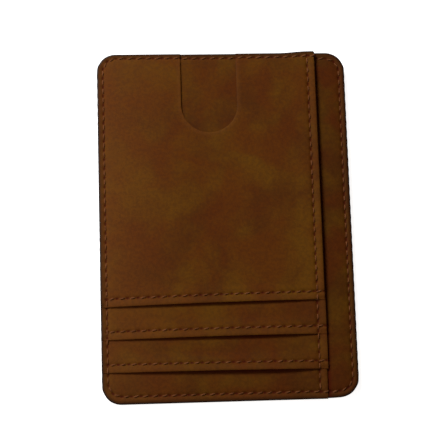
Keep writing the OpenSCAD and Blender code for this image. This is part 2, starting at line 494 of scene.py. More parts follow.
@dataclass(frozen=True)
class Stitching:
    """Sizes that all the seams share.

    Attributes:
        thread: thickness of the thread.
        shown: length of thread that shows between two holes.
        groove: depth of the valley that the thread presses into the leather.
        groove_width: half width of that valley.
        hole: depth of a needle hole's dimple.
        hole_length: half length of the dimple, along the seam.
        hole_width: half width of the dimple.
        slant: how far a stitch on a crosswise seam is turned off the seam, in radians.
    """

    thread: float = 0.42 * MM
    shown: float = 1.7 * MM
    groove: float = 0.13 * MM
    groove_width: float = 0.62 * MM
    hole: float = 0.32 * MM
    hole_length: float = 0.64 * MM
    hole_width: float = 0.4 * MM
    slant: float = 0.27


STITCHING = Stitching()


@dataclass
class Relief:
    """The worked surface of a leather layer: seam grooves, needle holes and rounded edges.

    Attributes:
        seams: paths of the seams that press into this layer.
        edges: distance functions of the edges to round, each with its width and drop.
    """

    seams: list[Path] = field(default_factory=list)
    edges: list[tuple[Callable[[Points, Points], Points], float, float]] = field(
        default_factory=list
    )

    def groove(self, x: Points, y: Points) -> Points:
        """Depth of the valleys under the seams."""
        depth = np.zeros_like(x)
        for seam in self.seams:
            away = seam.distance(x, y)
            narrow = STITCHING.groove * bump(away, STITCHING.groove_width)
            wide = 0.5 * STITCHING.groove * bump(away, 2.6 * STITCHING.groove_width)
            depth = np.maximum(depth, narrow + wide)
        return depth

    def holes(self, x: Points, y: Points) -> Points:
        """How much of a needle hole each point is in, from 0 to 1."""
        mask = np.zeros_like(x)
        for seam in self.seams:
            for at in seam.stations():
                dx, dy = x - at.x, y - at.y
                near = np.flatnonzero((np.abs(dx) < 2 * MM) & (np.abs(dy) < 2 * MM))
                if not len(near):
                    continue
                cos, sin = math.cos(at.turn), math.sin(at.turn)
                along = dx[near] * cos + dy[near] * sin
                across = dy[near] * cos - dx[near] * sin
                here = bump(along, STITCHING.hole_length) * bump(across, STITCHING.hole_width)
                mask[near] = np.maximum(mask[near], here)
        return mask

    def rounding(self, x: Points, y: Points) -> Points:
        """How far the surface drops towards its edges."""
        drop = np.zeros_like(x)
        for distance, width, depth in self.edges:
            t = np.clip(1 - distance(x, y) / width, 0, 1)
            drop = np.maximum(drop, depth * t * t)
        return drop

    def rub(self, x: Points, y: Points) -> Points:
        """How much a point lies on a soft margin outside a seam, where the wax is rubbed pale."""
        mask = np.zeros_like(x)
        for distance, width, _ in self.edges:
            away = distance(x, y)
            inner = 1 - ease((away - width) / (1.4 * MM))
            mask = np.maximum(mask, ease(away / (0.3 * MM)) * inner)
        return mask


# ---------------------------------------------------------------------------
# Mesh work
# ---------------------------------------------------------------------------


def deselect() -> None:
    """Leaves object mode with nothing selected."""
    if bpy.context.object and bpy.context.object.mode != "OBJECT":
        bpy.ops.object.mode_set(mode="OBJECT")
    bpy.ops.object.select_all(action="DESELECT")


def choose(piece: bpy.types.Object) -> None:
    """Makes one object the only one selected, and active."""
    deselect()
    piece.select_set(True)
    bpy.context.view_layer.objects.active = piece


def smooth(piece: bpy.types.Object, degrees: float) -> None:
    """Shades a piece smooth, except where its faces meet at more than an angle."""
    choose(piece)
    bpy.ops.object.shade_smooth_by_angle(angle=math.radians(degrees))


def read_points(piece: bpy.types.Object) -> Points:
    """A mesh's vertices as an array, one to a row."""
    flat = np.empty(len(piece.data.vertices) * 3)
    piece.data.vertices.foreach_get("co", flat)
    return flat.reshape(-1, 3)


def write_points(piece: bpy.types.Object, points: Points) -> None:
    """Puts an array of points back into a mesh."""
    piece.data.vertices.foreach_set("co", np.ascontiguousarray(points).ravel())
    piece.data.update()


def write_mask(piece: bpy.types.Object, name: str, values: Points) -> None:
    """Stores a value from 0 to 1 for each vertex, under a name that materials read."""
    mask = piece.data.attributes.new(name, "FLOAT", "POINT")
    mask.data.foreach_set("value", values.astype(np.float32))


def graded(start: float, stop: float, zones: list[tuple[float, float, float]],
           coarse: float) -> Points:
    """Grid lines from start to stop, closer together inside zones.

    Args:
        start: first line.
        stop: last line.
        zones: stretches as (start, stop, spacing); where they overlap the closest spacing holds.
        coarse: spacing elsewhere.

    Returns:
        The lines, in rising order.
    """
    cuts = {start, stop}
    for low, high, _ in zones:
        cuts |= {min(max(low, start), stop), min(max(high, start), stop)}
    ordered = sorted(cuts)
    lines = [start]
    for low, high in zip(ordered, ordered[1:]):
        if high - low < 0.02 * MM:
            continue
        middle = (low + high) / 2
        spacing = min([s for a, b, s in zones if a <= middle <= b], default=coarse)
        steps = max(1, math.ceil((high - low) / spacing - 1e-6))
        lines += [low + (high - low) * (i + 1) / steps for i in range(steps)]
    lines[-1] = stop
    return np.array(lines)


def round_corner(points: Points, centre: tuple[float, float], sign: tuple[int, int],
                 radius: float, reach: float) -> None:
    """Bends grid lines so that a square corner becomes a round one.

    Inside the corner's square the map keeps its two inner sides. Outside it, as on the leather
    round a hole, the shift fades out over a reach.

    Args:
        points: the points to move, in place.
        centre: the centre of the corner's circle.
        sign: which way the corner points along X and Y.
        radius: the circle's radius.
        reach: how many radii out the shift fades to nothing; 1 for an outer corner.
    """
    u = (points[:, 0] - centre[0]) * sign[0] / radius
    v = (points[:, 1] - centre[1]) * sign[1] / radius
    size = np.maximum(u, v)
    limit = max(reach, 1 + 1e-6)
    moved = np.flatnonzero((u > 0) & (v > 0) & (size <= limit))
    u, v, size = u[moved], v[moved], size[moved]
    scale = np.maximum(size, 1)
    a, b = u / scale, v / scale
    fade = 1 - ease((size - 1) / (limit - 1)) if reach > 1 else np.ones_like(size)
    points[moved, 0] += sign[0] * radius * fade * (a * np.sqrt(1 - b * b / 2) - a)
    points[moved, 1] += sign[1] * radius * fade * (b * np.sqrt(1 - a * a / 2) - b)


@dataclass
class Slab:
    """A thin layer cut from sheet, with a fine grid on its outer face.

    Attributes:
        name: the piece's name.
        x_lines: grid lines across the wallet.
        y_lines: grid lines along the wallet.
        z0: lower height.
        z1: upper height.
        side: the face that the fine grid is on.
        holes: rectangles to cut out, with the radius of their corners.
        rounded: outer corners to round, as (x sign, y sign).
        outline: the rectangle whose corners are rounded.
        soften: how far the cut edges are rounded over.
    """

    name: str
    x_lines: Points
    y_lines: Points
    z0: float
    z1: float
    side: Side = Side.FRONT
    holes: list[Rect] = field(default_factory=list)
    rounded: list[tuple[int, int]] = field(default_factory=list)
    outline: Rect | None = None
    soften: float = 0.0

    def grid(self) -> bpy.types.Object:
        """The outer face as a grid, spread onto its lines, with its holes cut out."""
        nx, ny = len(self.x_lines) - 1, len(self.y_lines) - 1
        deselect()
        bpy.ops.mesh.primitive_grid_add(x_subdivisions=nx, y_subdivisions=ny, size=1.0)
        piece = bpy.context.object
        piece.name = piece.data.name = self.name
        points = read_points(piece)
        column = np.rint((points[:, 0] + 0.5) * nx).astype(int)
        row = np.rint((points[:, 1] + 0.5) * ny).astype(int)
        points = np.stack(
            [self.x_lines[column], self.y_lines[row], np.full(len(points), self.z1)], axis=1
        )
        write_points(piece, points)
        if self.holes:
            self.cut_holes(piece)
        points = read_points(piece)
        self.round_corners(points)
        write_points(piece, points)
        return piece

    def cut_holes(self, piece: bpy.types.Object) -> None:
        """Deletes the grid's faces whose middle is in a hole."""
        centres = np.empty(len(piece.data.polygons) * 3)
        piece.data.polygons.foreach_get("center", centres)
        x, y = centres.reshape(-1, 3)[:, :2].T
        gone = np.zeros(len(x), bool)
        for hole in self.holes:
            gone |= (x > hole.x0) & (x < hole.x1) & (y > hole.y0) & (y < hole.y1)
        choose(piece)
        bpy.ops.object.mode_set(mode="EDIT")
        bpy.ops.mesh.select_mode(type="FACE")
        bpy.ops.mesh.select_all(action="DESELECT")
        bpy.ops.object.mode_set(mode="OBJECT")
        piece.data.polygons.foreach_set("select", gone)
        bpy.ops.object.mode_set(mode="EDIT")
        bpy.ops.mesh.delete(type="FACE")
        bpy.ops.object.mode_set(mode="OBJECT")

    def round_corners(self, points: Points) -> None:
        """Rounds the outer corners, and the corners of the holes."""
        if self.outline:
            o, r = self.outline, self.outline.radius
            for sx, sy in self.rounded:
                cx = o.x1 - r if sx > 0 else o.x0 + r
                cy = o.y1 - r if sy > 0 else o.y0 + r
                round_corner(points, (cx, cy), (sx, sy), r, 1)
        for hole in self.holes:
            r = hole.radius
            for sx in (-1, 1):
                for sy in (-1, 1):
                    cx = hole.x1 - r if sx > 0 else hole.x0 + r
                    cy = hole.y1 - r if sy > 0 else hole.y0 + r
                    if r > 0 and self.y_lines[0] < cy + sy * r < self.y_lines[-1]:
                        round_corner(points, (cx, cy), (sx, sy), r, 2.4)

    def build(self) -> bpy.types.Object:
        """The closed layer: the grid, extruded to the layer's thickness.

        Returns:
            The new object, with its faces pointing outwards.
        """
        piece = self.grid()
        choose(piece)
        bpy.ops.object.mode_set(mode="EDIT")
        bpy.ops.mesh.select_all(action="SELECT")
        down = {"value": (0, 0, self.z0 - self.z1)}
        bpy.ops.mesh.extrude_region_move(TRANSFORM_OT_translate=down)
        if self.side is Side.BACK:
            bpy.ops.object.mode_set(mode="OBJECT")
            points = read_points(piece)
            points[:, 2] = self.z0 + self.z1 - points[:, 2]
            write_points(piece, points)
            bpy.ops.object.mode_set(mode="EDIT")
        bpy.ops.mesh.select_all(action="SELECT")
        bpy.ops.mesh.normals_make_consistent(inside=False)
        bpy.ops.object.mode_set(mode="OBJECT")
        if self.soften:
            bevel = piece.modifiers.new("soft edges", "BEVEL")
            bevel.limit_method = "ANGLE"
            bevel.angle_limit = math.radians(50)
            bevel.width = self.soften
            bevel.segments = 2
            bpy.ops.object.modifier_apply(modifier=bevel.name)
        return piece


# ---------------------------------------------------------------------------
# Finishes
# ---------------------------------------------------------------------------


def linear(red: int, green: int, blue: int) -> tuple[float, float, float, float]:
    """A colour given in ordinary 0 to 255 numbers, as the linear colour that shaders take."""

    def channel(value: int) -> float:
        """One channel of the colour."""
        part = value / 255
        return part / 12.92 if part <= 0.04045 else ((part + 0.055) / 1.055) ** 2.4

    return channel(red), channel(green), channel(blue), 1.0


class Graph:
    """A node tree under construction."""

    def __init__(self, tree: bpy.types.NodeTree) -> None:
        """Starts with an empty tree."""
        self.tree = tree
        tree.nodes.clear()

    def add(self, kind: str, inputs: dict | None = None, **settings: object) -> bpy.types.Node:
        """Adds a node.

        Args:
            kind: the node's type name, without its ShaderNode prefix.
            inputs: values or sockets for its inputs, by name or number.
            settings: its own properties.

        Returns:
            The new node.
        """
        prefix = "" if kind.startswith("NodeGroup") else "ShaderNode"
        node = self.tree.nodes.new(prefix + kind)
        for name, value in settings.items():
            setattr(node, name, value)
        for name, value in (inputs or {}).items():
            if isinstance(value, bpy.types.NodeSocket):
                self.tree.links.new(value, node.inputs[name])
            else:
                node.inputs[name].default_value = value
        return node

    def place(self) -> bpy.types.NodeSocket:
        """Where on the piece a point lies."""
        return self.add("TexCoord").outputs["Object"]

    def mask(self, name: str) -> bpy.types.NodeSocket:
        """A value that is stored for each point of the piece."""
        return self.add("Attribute", attribute_name=name).outputs["Fac"]

    def group(self, tree: bpy.types.NodeTree, vector: bpy.types.NodeSocket) -> bpy.types.Node:
        """Places a shared node group, fed with a vector."""
        return self.add("Group", {"Vector": vector}, node_tree=tree)

    def mix(self, factor: object, first: object, second: object,
            blend: str = "MIX") -> bpy.types.NodeSocket:
        """Mixes two colours, and returns the result's socket."""
        node = self.add("Mix", data_type="RGBA", blend_type=blend)
        for index, value in ((0, factor), (6, first), (7, second)):
            if isinstance(value, bpy.types.NodeSocket):
                self.tree.links.new(value, node.inputs[index])
            else:
                node.inputs[index].default_value = value
        return node.outputs[2]

    def math(self, operation: str, first: object, second: object = 0.0) -> bpy.types.NodeSocket:
        """A sum of two values, and returns the result's socket."""
        return self.add("Math", {0: first, 1: second}, operation=operation).outputs[0]

    def remap(self, value: object, low: float, high: float, to_low: float = 0.0,
              to_high: float = 1.0) -> bpy.types.NodeSocket:
        """Turns the range low to high into another range, softly, and returns the socket."""
        node = self.add("MapRange", {0: value, 1: low, 2: high, 3: to_low, 4: to_high})
        node.interpolation_type = "SMOOTHSTEP"
        return node.outputs[0]

    def noise(self, vector: object, scale: float, detail: float = 2.0, rough: float = 0.5,
              distortion: float = 0.0) -> bpy.types.NodeSocket:
        """A noise pattern, and returns its value's socket."""
        node = self.add("TexNoise", {"Vector": vector, "Scale": scale, "Detail": detail,
                                     "Roughness": rough, "Distortion": distortion})
        return node.outputs[0]


def new_group(name: str, takes: dict[str, str],
              gives: dict[str, str]) -> tuple[Graph, dict, bpy.types.Node]:
    """Starts a shader node group.

    Args:
        name: the group's name.
        takes: its inputs, name to socket type.
        gives: its outputs, name to socket type.

    Returns:
        Its graph, the sockets of its inputs by name, and its output node.
    """
    tree = bpy.data.node_groups.new(name, "ShaderNodeTree")
    graph = Graph(tree)
    for label, kind in takes.items():
        tree.interface.new_socket(label, in_out="INPUT", socket_type=kind)
    for label, kind in gives.items():
        tree.interface.new_socket(label, in_out="OUTPUT", socket_type=kind)
    start, end = graph.add("NodeGroupInput"), graph.add("NodeGroupOutput")
    return graph, {label: start.outputs[label] for label in takes}, end


VECTOR, FLOAT = "NodeSocketVector", "NodeSocketFloat"


class Effects:
    """Shader node groups that several finishes share."""

    def __init__(self) -> None:
        """Builds the groups."""
        self.mottle = self.build_mottle()
        self.grain = self.build_grain()
        self.twist = self.build_twist()

    @staticmethod
    def build_mottle() -> bpy.types.NodeTree:
        """Wax pull-up on brushed hide: pale clouds, warm clouds and a fine nap.

        Returns:
            A group that takes Vector, and gives Pale, Warm and Nap from 0 to 1.
        """
        gives = {"Pale": FLOAT, "Warm": FLOAT, "Nap": FLOAT}
        graph, start, end = new_group("hide_mottle", {"Vector": VECTOR}, gives)
        at = start["Vector"]
        cloud = graph.noise(at, 52, 3.0, 0.55, 0.4)
        blot = graph.noise(at, 145, 3.0, 0.6, 0.6)
        blot = graph.math("MULTIPLY", blot, 0.32)
        soft = graph.math("ADD", graph.math("MULTIPLY", cloud, 0.68), blot)
        moved = graph.add("Mapping", {"Vector": at, "Location": (0.31, 0.17, 0.05)}).outputs[0]
        warm = graph.noise(moved, 70, 2.5, 0.5, 0.5)
        nap = graph.noise(at, 950, 5.0, 0.7)
        pairs = {
            "Pale": graph.remap(soft, 0.36, 0.64),
            "Warm": graph.remap(warm, 0.38, 0.64),
            "Nap": graph.remap(nap, 0.3, 0.7),
        }
        for label, socket in pairs.items():
            graph.tree.links.new(socket, end.inputs[label])
        return graph.tree

    @staticmethod
    def build_grain() -> bpy.types.NodeTree:
        """The raised pattern of hide: short fibres over fine pores.

        Returns:
            A group that takes Vector, and gives Height from 0 to 1.
        """
        graph, start, end = new_group("hide_grain", {"Vector": VECTOR}, {"Height": FLOAT})
        at = start["Vector"]
        cells = graph.add("TexVoronoi", {"Vector": at, "Scale": 2600.0}, feature="SMOOTH_F1")
        fibres = graph.noise(at, 3600, 4.0, 0.7)
        crease = graph.noise(at, 420, 4.0, 0.6, 0.5)
        height = graph.math("MULTIPLY", cells.outputs["Distance"], 0.35)
        height = graph.math("ADD", height, graph.math("MULTIPLY", fibres, 0.35))
        height = graph.math("ADD", height, graph.math("MULTIPLY", crease, 0.5))
        graph.tree.links.new(height, end.inputs["Height"])
        return graph.tree

    @staticmethod
    def build_twist() -> bpy.types.NodeTree:
        """The plies of a sewing thread, laid on the thread's own map.

        Returns:
            A group that takes Vector, the map, and gives Height from 0 to 1.
        """
        graph, start, end = new_group("thread_twist", {"Vector": VECTOR}, {"Height": FLOAT})
        at = start["Vector"]
        split = graph.add("SeparateXYZ", {"Vector": at})
        ply = graph.math("MULTIPLY", split.outputs[0], 3.0)
        run = graph.math("MULTIPLY", split.outputs[1], 14.0)
        turn = graph.math("MULTIPLY", graph.math("ADD", ply, run), 2 * math.pi)
        wave = graph.math("SINE", turn)
        height = graph.math("ADD", graph.math("MULTIPLY", wave, 0.5), 0.5)
        graph.tree.links.new(height, end.inputs["Height"])
        return graph.tree


class Finish:
    """What all finishes share: a material with one Principled shader."""

    @staticmethod
    def begin(name: str, **constants: float) -> tuple[bpy.types.Material, Graph, bpy.types.Node]:
        """Starts a material.

        Args:
            name: the material's name.
            constants: values for the shader's sockets, with _ for a space.

        Returns:
            The material, its graph and its shader.
        """
        material = bpy.data.materials.new(name)
        material.use_nodes = True
        graph = Graph(material.node_tree)
        shader = graph.add("BsdfPrincipled")
        for label, value in constants.items():
            shader.inputs[label.replace("_", " ")].default_value = value
        output = graph.add("OutputMaterial")
        graph.tree.links.new(shader.outputs[0], output.inputs["Surface"])
        return material, graph, shader

    @staticmethod
    def coat(graph: Graph, shader: bpy.types.Node, colour: object, rough: object,
             height: object, distance: float, strength: float = 1.0) -> None:
        """Feeds the shader.

        Args:
            graph: the material's graph.
            shader: the shader.
            colour: socket of its colour, or None where that is set already.
            rough: socket of its roughness.
            height: socket of the surface's fine height.
            distance: how high that is in metres.
            strength: how strongly it shows.
        """
        settings = {"Height": height, "Distance": distance, "Strength": strength}
        normal = graph.add("Bump", settings).outputs[0]
        for label, socket in (("Base Color", colour), ("Roughness", rough), ("Normal", normal)):
            if socket:
                graph.tree.links.new(socket, shader.inputs[label])


@dataclass(frozen=True)
class Hide(Finish):
    """Waxed, brushed leather with cloudy pull-up.

    Attributes:
        name: the material's name.
        shift: where on the hide the panel was cut, which moves the clouds.
        tone_and_shade: brightness of this panel against the others, partly painted shade: panels
            further down and to the right are made darker.
        warmth_and_shade: how strong its warm clouds are, raised on the lower and right-hand panels
            as a painted redder shade.
    """

    name: str
    shift: tuple[float, float, float] = (0.0, 0.0, 0.0)
    tone_and_shade: float = 1.0
    warmth_and_shade: float = 0.6

    # The pale colour serves the real pull-up on the rubbed margins, and also the painted sheen on
    # the left side.
    PALE_AND_SHEEN = linear(112, 65, 25)
    OLIVE = linear(104, 64, 9)
    WARM = linear(96, 44, 8)
    DEEP = linear(87, 45, 9)
    # painted shade inside the needle holes
    HOLE_SHADE_COLOUR = linear(68, 15, 3)
    # painted shade: the dark red laid under the pockets' lips and beside the stack's right side
    SLIT_SHADE_COLOUR = linear(80, 17, 3)
    WAX = linear(34, 15, 5)
    LIT_SIDE_SPAN = (-40 * MM, -8 * MM)  # where, across the wallet, the side lies that is painted paler and brighter, as painted sheen and light from the left

    def material(self, effects: Effects) -> bpy.types.Material:
        """The panel's material.

        Args:
            effects: the shared node groups.

        Returns:
            The new material.
        """
        material, graph, shader = self.begin(self.name, Specular_IOR_Level=0.07)
        at = graph.place()
        moved = graph.add("Mapping", {"Vector": at, "Location": self.shift}).outputs[0]
        mottle = graph.group(effects.mottle, moved)
        pale, warm, nap = (mottle.outputs[name] for name in ("Pale", "Warm", "Nap"))
        colour = graph.mix(pale, self.DEEP, self.OLIVE)
        colour = graph.mix(graph.math("MULTIPLY", warm, self.warmth_and_shade), colour, self.WARM)
        colour = graph.mix(graph.math("MULTIPLY", graph.mask("rubbed"), 0.35), colour, self.PALE_AND_SHEEN)
        # The left side is painted paler and brighter: painted sheen and light from the left.
        across = graph.add("SeparateXYZ", {"Vector": at}).outputs[0]
        fade = graph.remap(across, *self.LIT_SIDE_SPAN, 0.42, 0)
        colour = graph.mix(fade, colour, self.PALE_AND_SHEEN)
        # The nap's real brightness changes, times the panel's tone and a painted brightening
        # towards the left.
        nap_and_painted_light = graph.remap(nap, 0, 1, 0.86 * self.tone_and_shade, 1.1 * self.tone_and_shade)
        nap_and_painted_light = graph.math("MULTIPLY", nap_and_painted_light, graph.remap(across, *self.LIT_SIDE_SPAN, 1.04, 0.98))
        tinted = graph.add("CombineColor", {0: nap_and_painted_light, 1: nap_and_painted_light, 2: nap_and_painted_light}).outputs[0]
        colour = graph.mix(1.0, colour, tinted, "MULTIPLY")
        # The wax darkens the outer edge for real; the second mask lays painted shade under the lips
        # and beside the stack.
        for name, amount, shade in (("waxed", 0.75, self.WAX), ("painted_slit_shade", 0.75, self.SLIT_SHADE_COLOUR)):
            colour = graph.mix(graph.math("MULTIPLY", graph.mask(name), amount), colour, shade)
        # The needle holes are darkened as painted shade.
        hole = graph.remap(graph.mask("stitch_hole_shade"), 0.15, 0.85, 0, 0.85)
        colour = graph.mix(hole, colour, self.HOLE_SHADE_COLOUR)
        height = graph.group(effects.grain, moved).outputs["Height"]
        rough = graph.remap(nap, 0, 1, 0.62, 0.8)
        self.coat(graph, shader, colour, rough, height, 0.05 * MM, 0.6)
        return material


@dataclass(frozen=True)
class EdgePaint(Finish):
    """Dark paint on a cut leather edge, wiped on by hand."""

    name: str = "edge_paint"

    def material(self, effects: Effects) -> bpy.types.Material:
        """The paint's material.

        Args:
            effects: the shared node groups.

        Returns:
            The new material.
        """
        material, graph, shader = self.begin(self.name, Specular_IOR_Level=0.2)
        at = graph.place()
        wipe = graph.noise(at, 260, 3.0, 0.6)
        colour = graph.mix(wipe, linear(30, 15, 7), linear(46, 26, 14))
        height = graph.group(effects.grain, at).outputs["Height"]
        rough = graph.remap(wipe, 0.3, 0.7, 0.42, 0.6)
        self.coat(graph, shader, colour, rough, height, 0.06 * MM, 0.5)
        return material


@dataclass(frozen=True)
class RawEdge(Finish):
    """A cut leather edge that was only rubbed smooth, with its fibres showing."""

    name: str = "raw_edge"

    def material(self, effects: Effects) -> bpy.types.Material:
        """The edge's material.

        Args:
            effects: the shared node groups.

        Returns:
            The new material.
        """
        material, graph, shader = self.begin(self.name, Specular_IOR_Level=0.2)
        at = graph.place()
        layers = graph.add("Mapping", {"Vector": at, "Scale": (1.0, 1.0, 9.0)}).outputs[0]
        fibre = graph.noise(layers, 900, 4.0, 0.7)
        colour = graph.mix(fibre, linear(78, 44, 20), linear(112, 74, 40))
        rough = graph.remap(fibre, 0.3, 0.7, 0.8, 0.95)
        self.coat(graph, shader, colour, rough, fibre, 0.08 * MM, 0.7)
        return material


@dataclass(frozen=True)
class ThreadFinish(Finish):
    """Bonded polyester thread, a shade paler and redder than the leather."""

    name: str = "tan_thread"

    def material(self, effects: Effects) -> bpy.types.Material:
        """The thread's material.

        Args:
            effects: the shared node groups.

        Returns:
            The new material.
        """
        material, graph, shader = self.begin(self.name, Specular_IOR_Level=0.12)
        along = graph.add("UVMap", uv_map="thread_map").outputs[0]
        height = graph.group(effects.twist, along).outputs["Height"]
        at = graph.place()
        wear = graph.noise(at, 240, 3.0, 0.6)
        body = graph.mix(graph.remap(wear, 0.35, 0.65), linear(120, 70, 36), linear(138, 84, 48))
        # The grooves between the plies are painted darker, as painted shade.
        colour = graph.mix(graph.remap(height, 0, 0.7, 0.45, 1), linear(84, 40, 18), body)
        rough = graph.remap(height, 0, 1, 0.75, 0.55)
        self.coat(graph, shader, colour, rough, height, 0.05 * MM)
        return material


@dataclass(frozen=True)
class LiningCloth(Finish):
    """Thin woven lining."""

    name: str = "lining_cloth"

    def material(self, effects: Effects) -> bpy.types.Material:
        """The cloth's material.

        Args:
            effects: the shared node groups.

        Returns:
            The new material.
        """
        material, graph, shader = self.begin(self.name, Sheen_Weight=0.2, Specular_IOR_Level=0.25)
        at = graph.place()
        yarns = {"Vector": at, "Scale": 620.0, "Distortion": 0.4}
        warp, weft = (
            graph.add("TexWave", yarns, wave_type="BANDS", bands_direction=way).outputs["Fac"]
            for way in "XY"
        )
        weave = graph.math("MULTIPLY", graph.math("ADD", warp, weft), 0.5)
        # The low parts of the weave, between the yarns, are painted darker, as painted shade.
        colour = graph.mix(weave, linear(52, 34, 22), linear(82, 58, 40))
        self.coat(graph, shader, colour, graph.remap(weave, 0, 1, 0.9, 0.75), weave, 0.03 * MM)
        return material


@dataclass(frozen=True)
class ShieldFoil(Finish):
    """Crinkled metal foil that blocks card readers."""

    name: str = "shield_foil"

    def material(self, effects: Effects) -> bpy.types.Material:
        """The foil's material.

        Args:
            effects: the shared node groups.

        Returns:
            The new material.
        """
        material, graph, shader = self.begin(self.name, Metallic=1.0)
        at = graph.place()
        cells = graph.add("TexVoronoi", {"Vector": at, "Scale": 260.0}, feature="F1")
        crinkle = cells.outputs["Distance"]
        haze = graph.noise(at, 700, 3.0)
        colour = graph.mix(haze, linear(168, 168, 170), linear(205, 205, 208))
        rough = graph.remap(haze, 0.3, 0.7, 0.28, 0.42)
        self.coat(graph, shader, colour, rough, crinkle, 0.05 * MM, 0.6)
        return material


@dataclass(frozen=True)
class GlueTape(Finish):
    """Double-sided tape, dull amber."""

    name: str = "glue_tape"

    def material(self, effects: Effects) -> bpy.types.Material:
        """The tape's material.

        Args:
            effects: the shared node groups.

        Returns:
            The new material.
        """
        material, graph, shader = self.begin(self.name, Specular_IOR_Level=0.3)
        at = graph.place()
        patch = graph.noise(at, 420, 4.0, 0.6)
        colour = graph.mix(patch, linear(72, 48, 28), linear(104, 76, 46))
        self.coat(graph, shader, colour, graph.remap(patch, 0.3, 0.7, 0.6, 0.8), patch, 0.02 * MM)
        return material


@dataclass(frozen=True)
class ClearFilm(Finish):
    """Clear vinyl over the identity card."""

    name: str = "clear_film"

    def material(self, effects: Effects) -> bpy.types.Material:
        """The film's material.

        Args:
            effects: the shared node groups.

        Returns:
            The new material.
        """
        material, graph, shader = self.begin(
            self.name, Transmission_Weight=1.0, IOR=1.45, Metallic=0.0
        )
        shader.inputs["Base Color"].default_value = linear(246, 244, 238)
        at = graph.place()
        haze = graph.noise(at, 90, 4.0, 0.6)
        ripple = graph.noise(at, 60, 2.0, 0.5, 0.8)
        rough = graph.remap(haze, 0.3, 0.7, 0.05, 0.14)
        self.coat(graph, shader, None, rough, ripple, 0.25 * MM, 0.5)
        return material


@dataclass(frozen=True)
class StudioFloor(Finish):
    """A plain white light table, clear when it is looked at from below."""

    name: str = "studio_floor"
    glow: float = 0.9

    def material(self, effects: Effects) -> bpy.types.Material:
        """The floor's material.

        Args:
            effects: the shared node groups.

        Returns:
            The new material.
        """
        material, graph, shader = self.begin(
            self.name, Roughness=0.9, Specular_IOR_Level=0.1, Emission_Strength=self.glow
        )
        shader.inputs["Emission Color"].default_value = (1, 1, 1, 1)
        at = graph.place()
        faint = graph.noise(at, 30, 2.0)
        colour = graph.mix(faint, (0.88, 0.88, 0.88, 1), (0.9, 0.9, 0.9, 1))
        graph.tree.links.new(colour, shader.inputs["Base Color"])
        under = graph.add("NewGeometry").outputs["Backfacing"]
        clear = graph.add("BsdfTransparent").outputs[0]
        both = graph.add("MixShader", {0: under, 1: shader.outputs[0], 2: clear}).outputs[0]
        output = next(node for node in graph.tree.nodes if node.type == "OUTPUT_MATERIAL")
        graph.tree.links.new(both, output.inputs["Surface"])
        return material


# ---------------------------------------------------------------------------
# The wallet's pieces
# ---------------------------------------------------------------------------


@dataclass
class Workshop:
    """Builds finishes once and hands finished pieces over in place of their CAD parts."""

    effects: Effects = field(default_factory=Effects)
    made: dict[str, bpy.types.Material] = field(default_factory=dict)

    def finish(self, look: Finish) -> bpy.types.Material:
        """The material of a finish, built the first time it is asked for."""
        if look.name not in self.made:
            self.made[look.name] = look.material(self.effects)
        return self.made[look.name]

    def hand_over(self, piece: bpy.types.Object, node: str, slot: str) -> None:
        """Lets a piece stand for its CAD node, and reports it.

        Args:
            piece: the finished piece.
            node: the CAD node that it replaces.
            slot: the record's material slot; not used.
        """
        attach(piece, BODY)
        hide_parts(node)
        LOG.info("%s: %d faces", piece.name, len(piece.data.polygons))


# Grid spacings: at seams and edges, where the leather shows, and where it is covered
FINE = 0.25 * MM
EVEN = 0.45 * MM
HIDDEN = 3.0 * MM
SEAM_ZONE = 1.3 * MM  # how far to each side of a seam the grid is fine
EDGE_ZONE = 0.75 * MM  # how far in from a free edge the grid is fine
HOLE_ZONE = 0.6 * MM  # how far out from an opening the grid is fine
HOLE_STEP = 0.2 * MM  # grid spacing there
PAINT_WIDTH = 0.4 * MM  # how far in the paint on the outer edge reaches
RAW_WIDTH = 0.09 * MM  # how far a raw rim reaches past an opening's cut
UNDER = MM  # how far a panel's shown part runs on under the panel over it
# Rounding of the leather's edges, as (width, drop)
OUTER_ROUNDING = (1.1 * MM, 0.3 * MM)
FREE_ROUNDING = (0.9 * MM, 0.16 * MM)
RIM_ROUNDING = (0.4 * MM, 0.08 * MM)
CUT_SOFTENING = 0.14 * MM  # how far the cut edges are rounded over
WAX_WIDTH = 1.0 * MM  # how far in from the outer edge the wax lies thick
DEEPEST = 0.9  # share of a panel's thickness that its relief may reach
HELD_SHARE = 0.85  # share of its thickness that a lip's ends lose where a seam holds them


def rim_zones(low: float, high: float) -> list[tuple[float, float, float]]:
    """The fine grid zones just outside an opening's two sides."""
    return [(low - HOLE_ZONE, low, HOLE_STEP), (high, high + HOLE_ZONE, HOLE_STEP)]


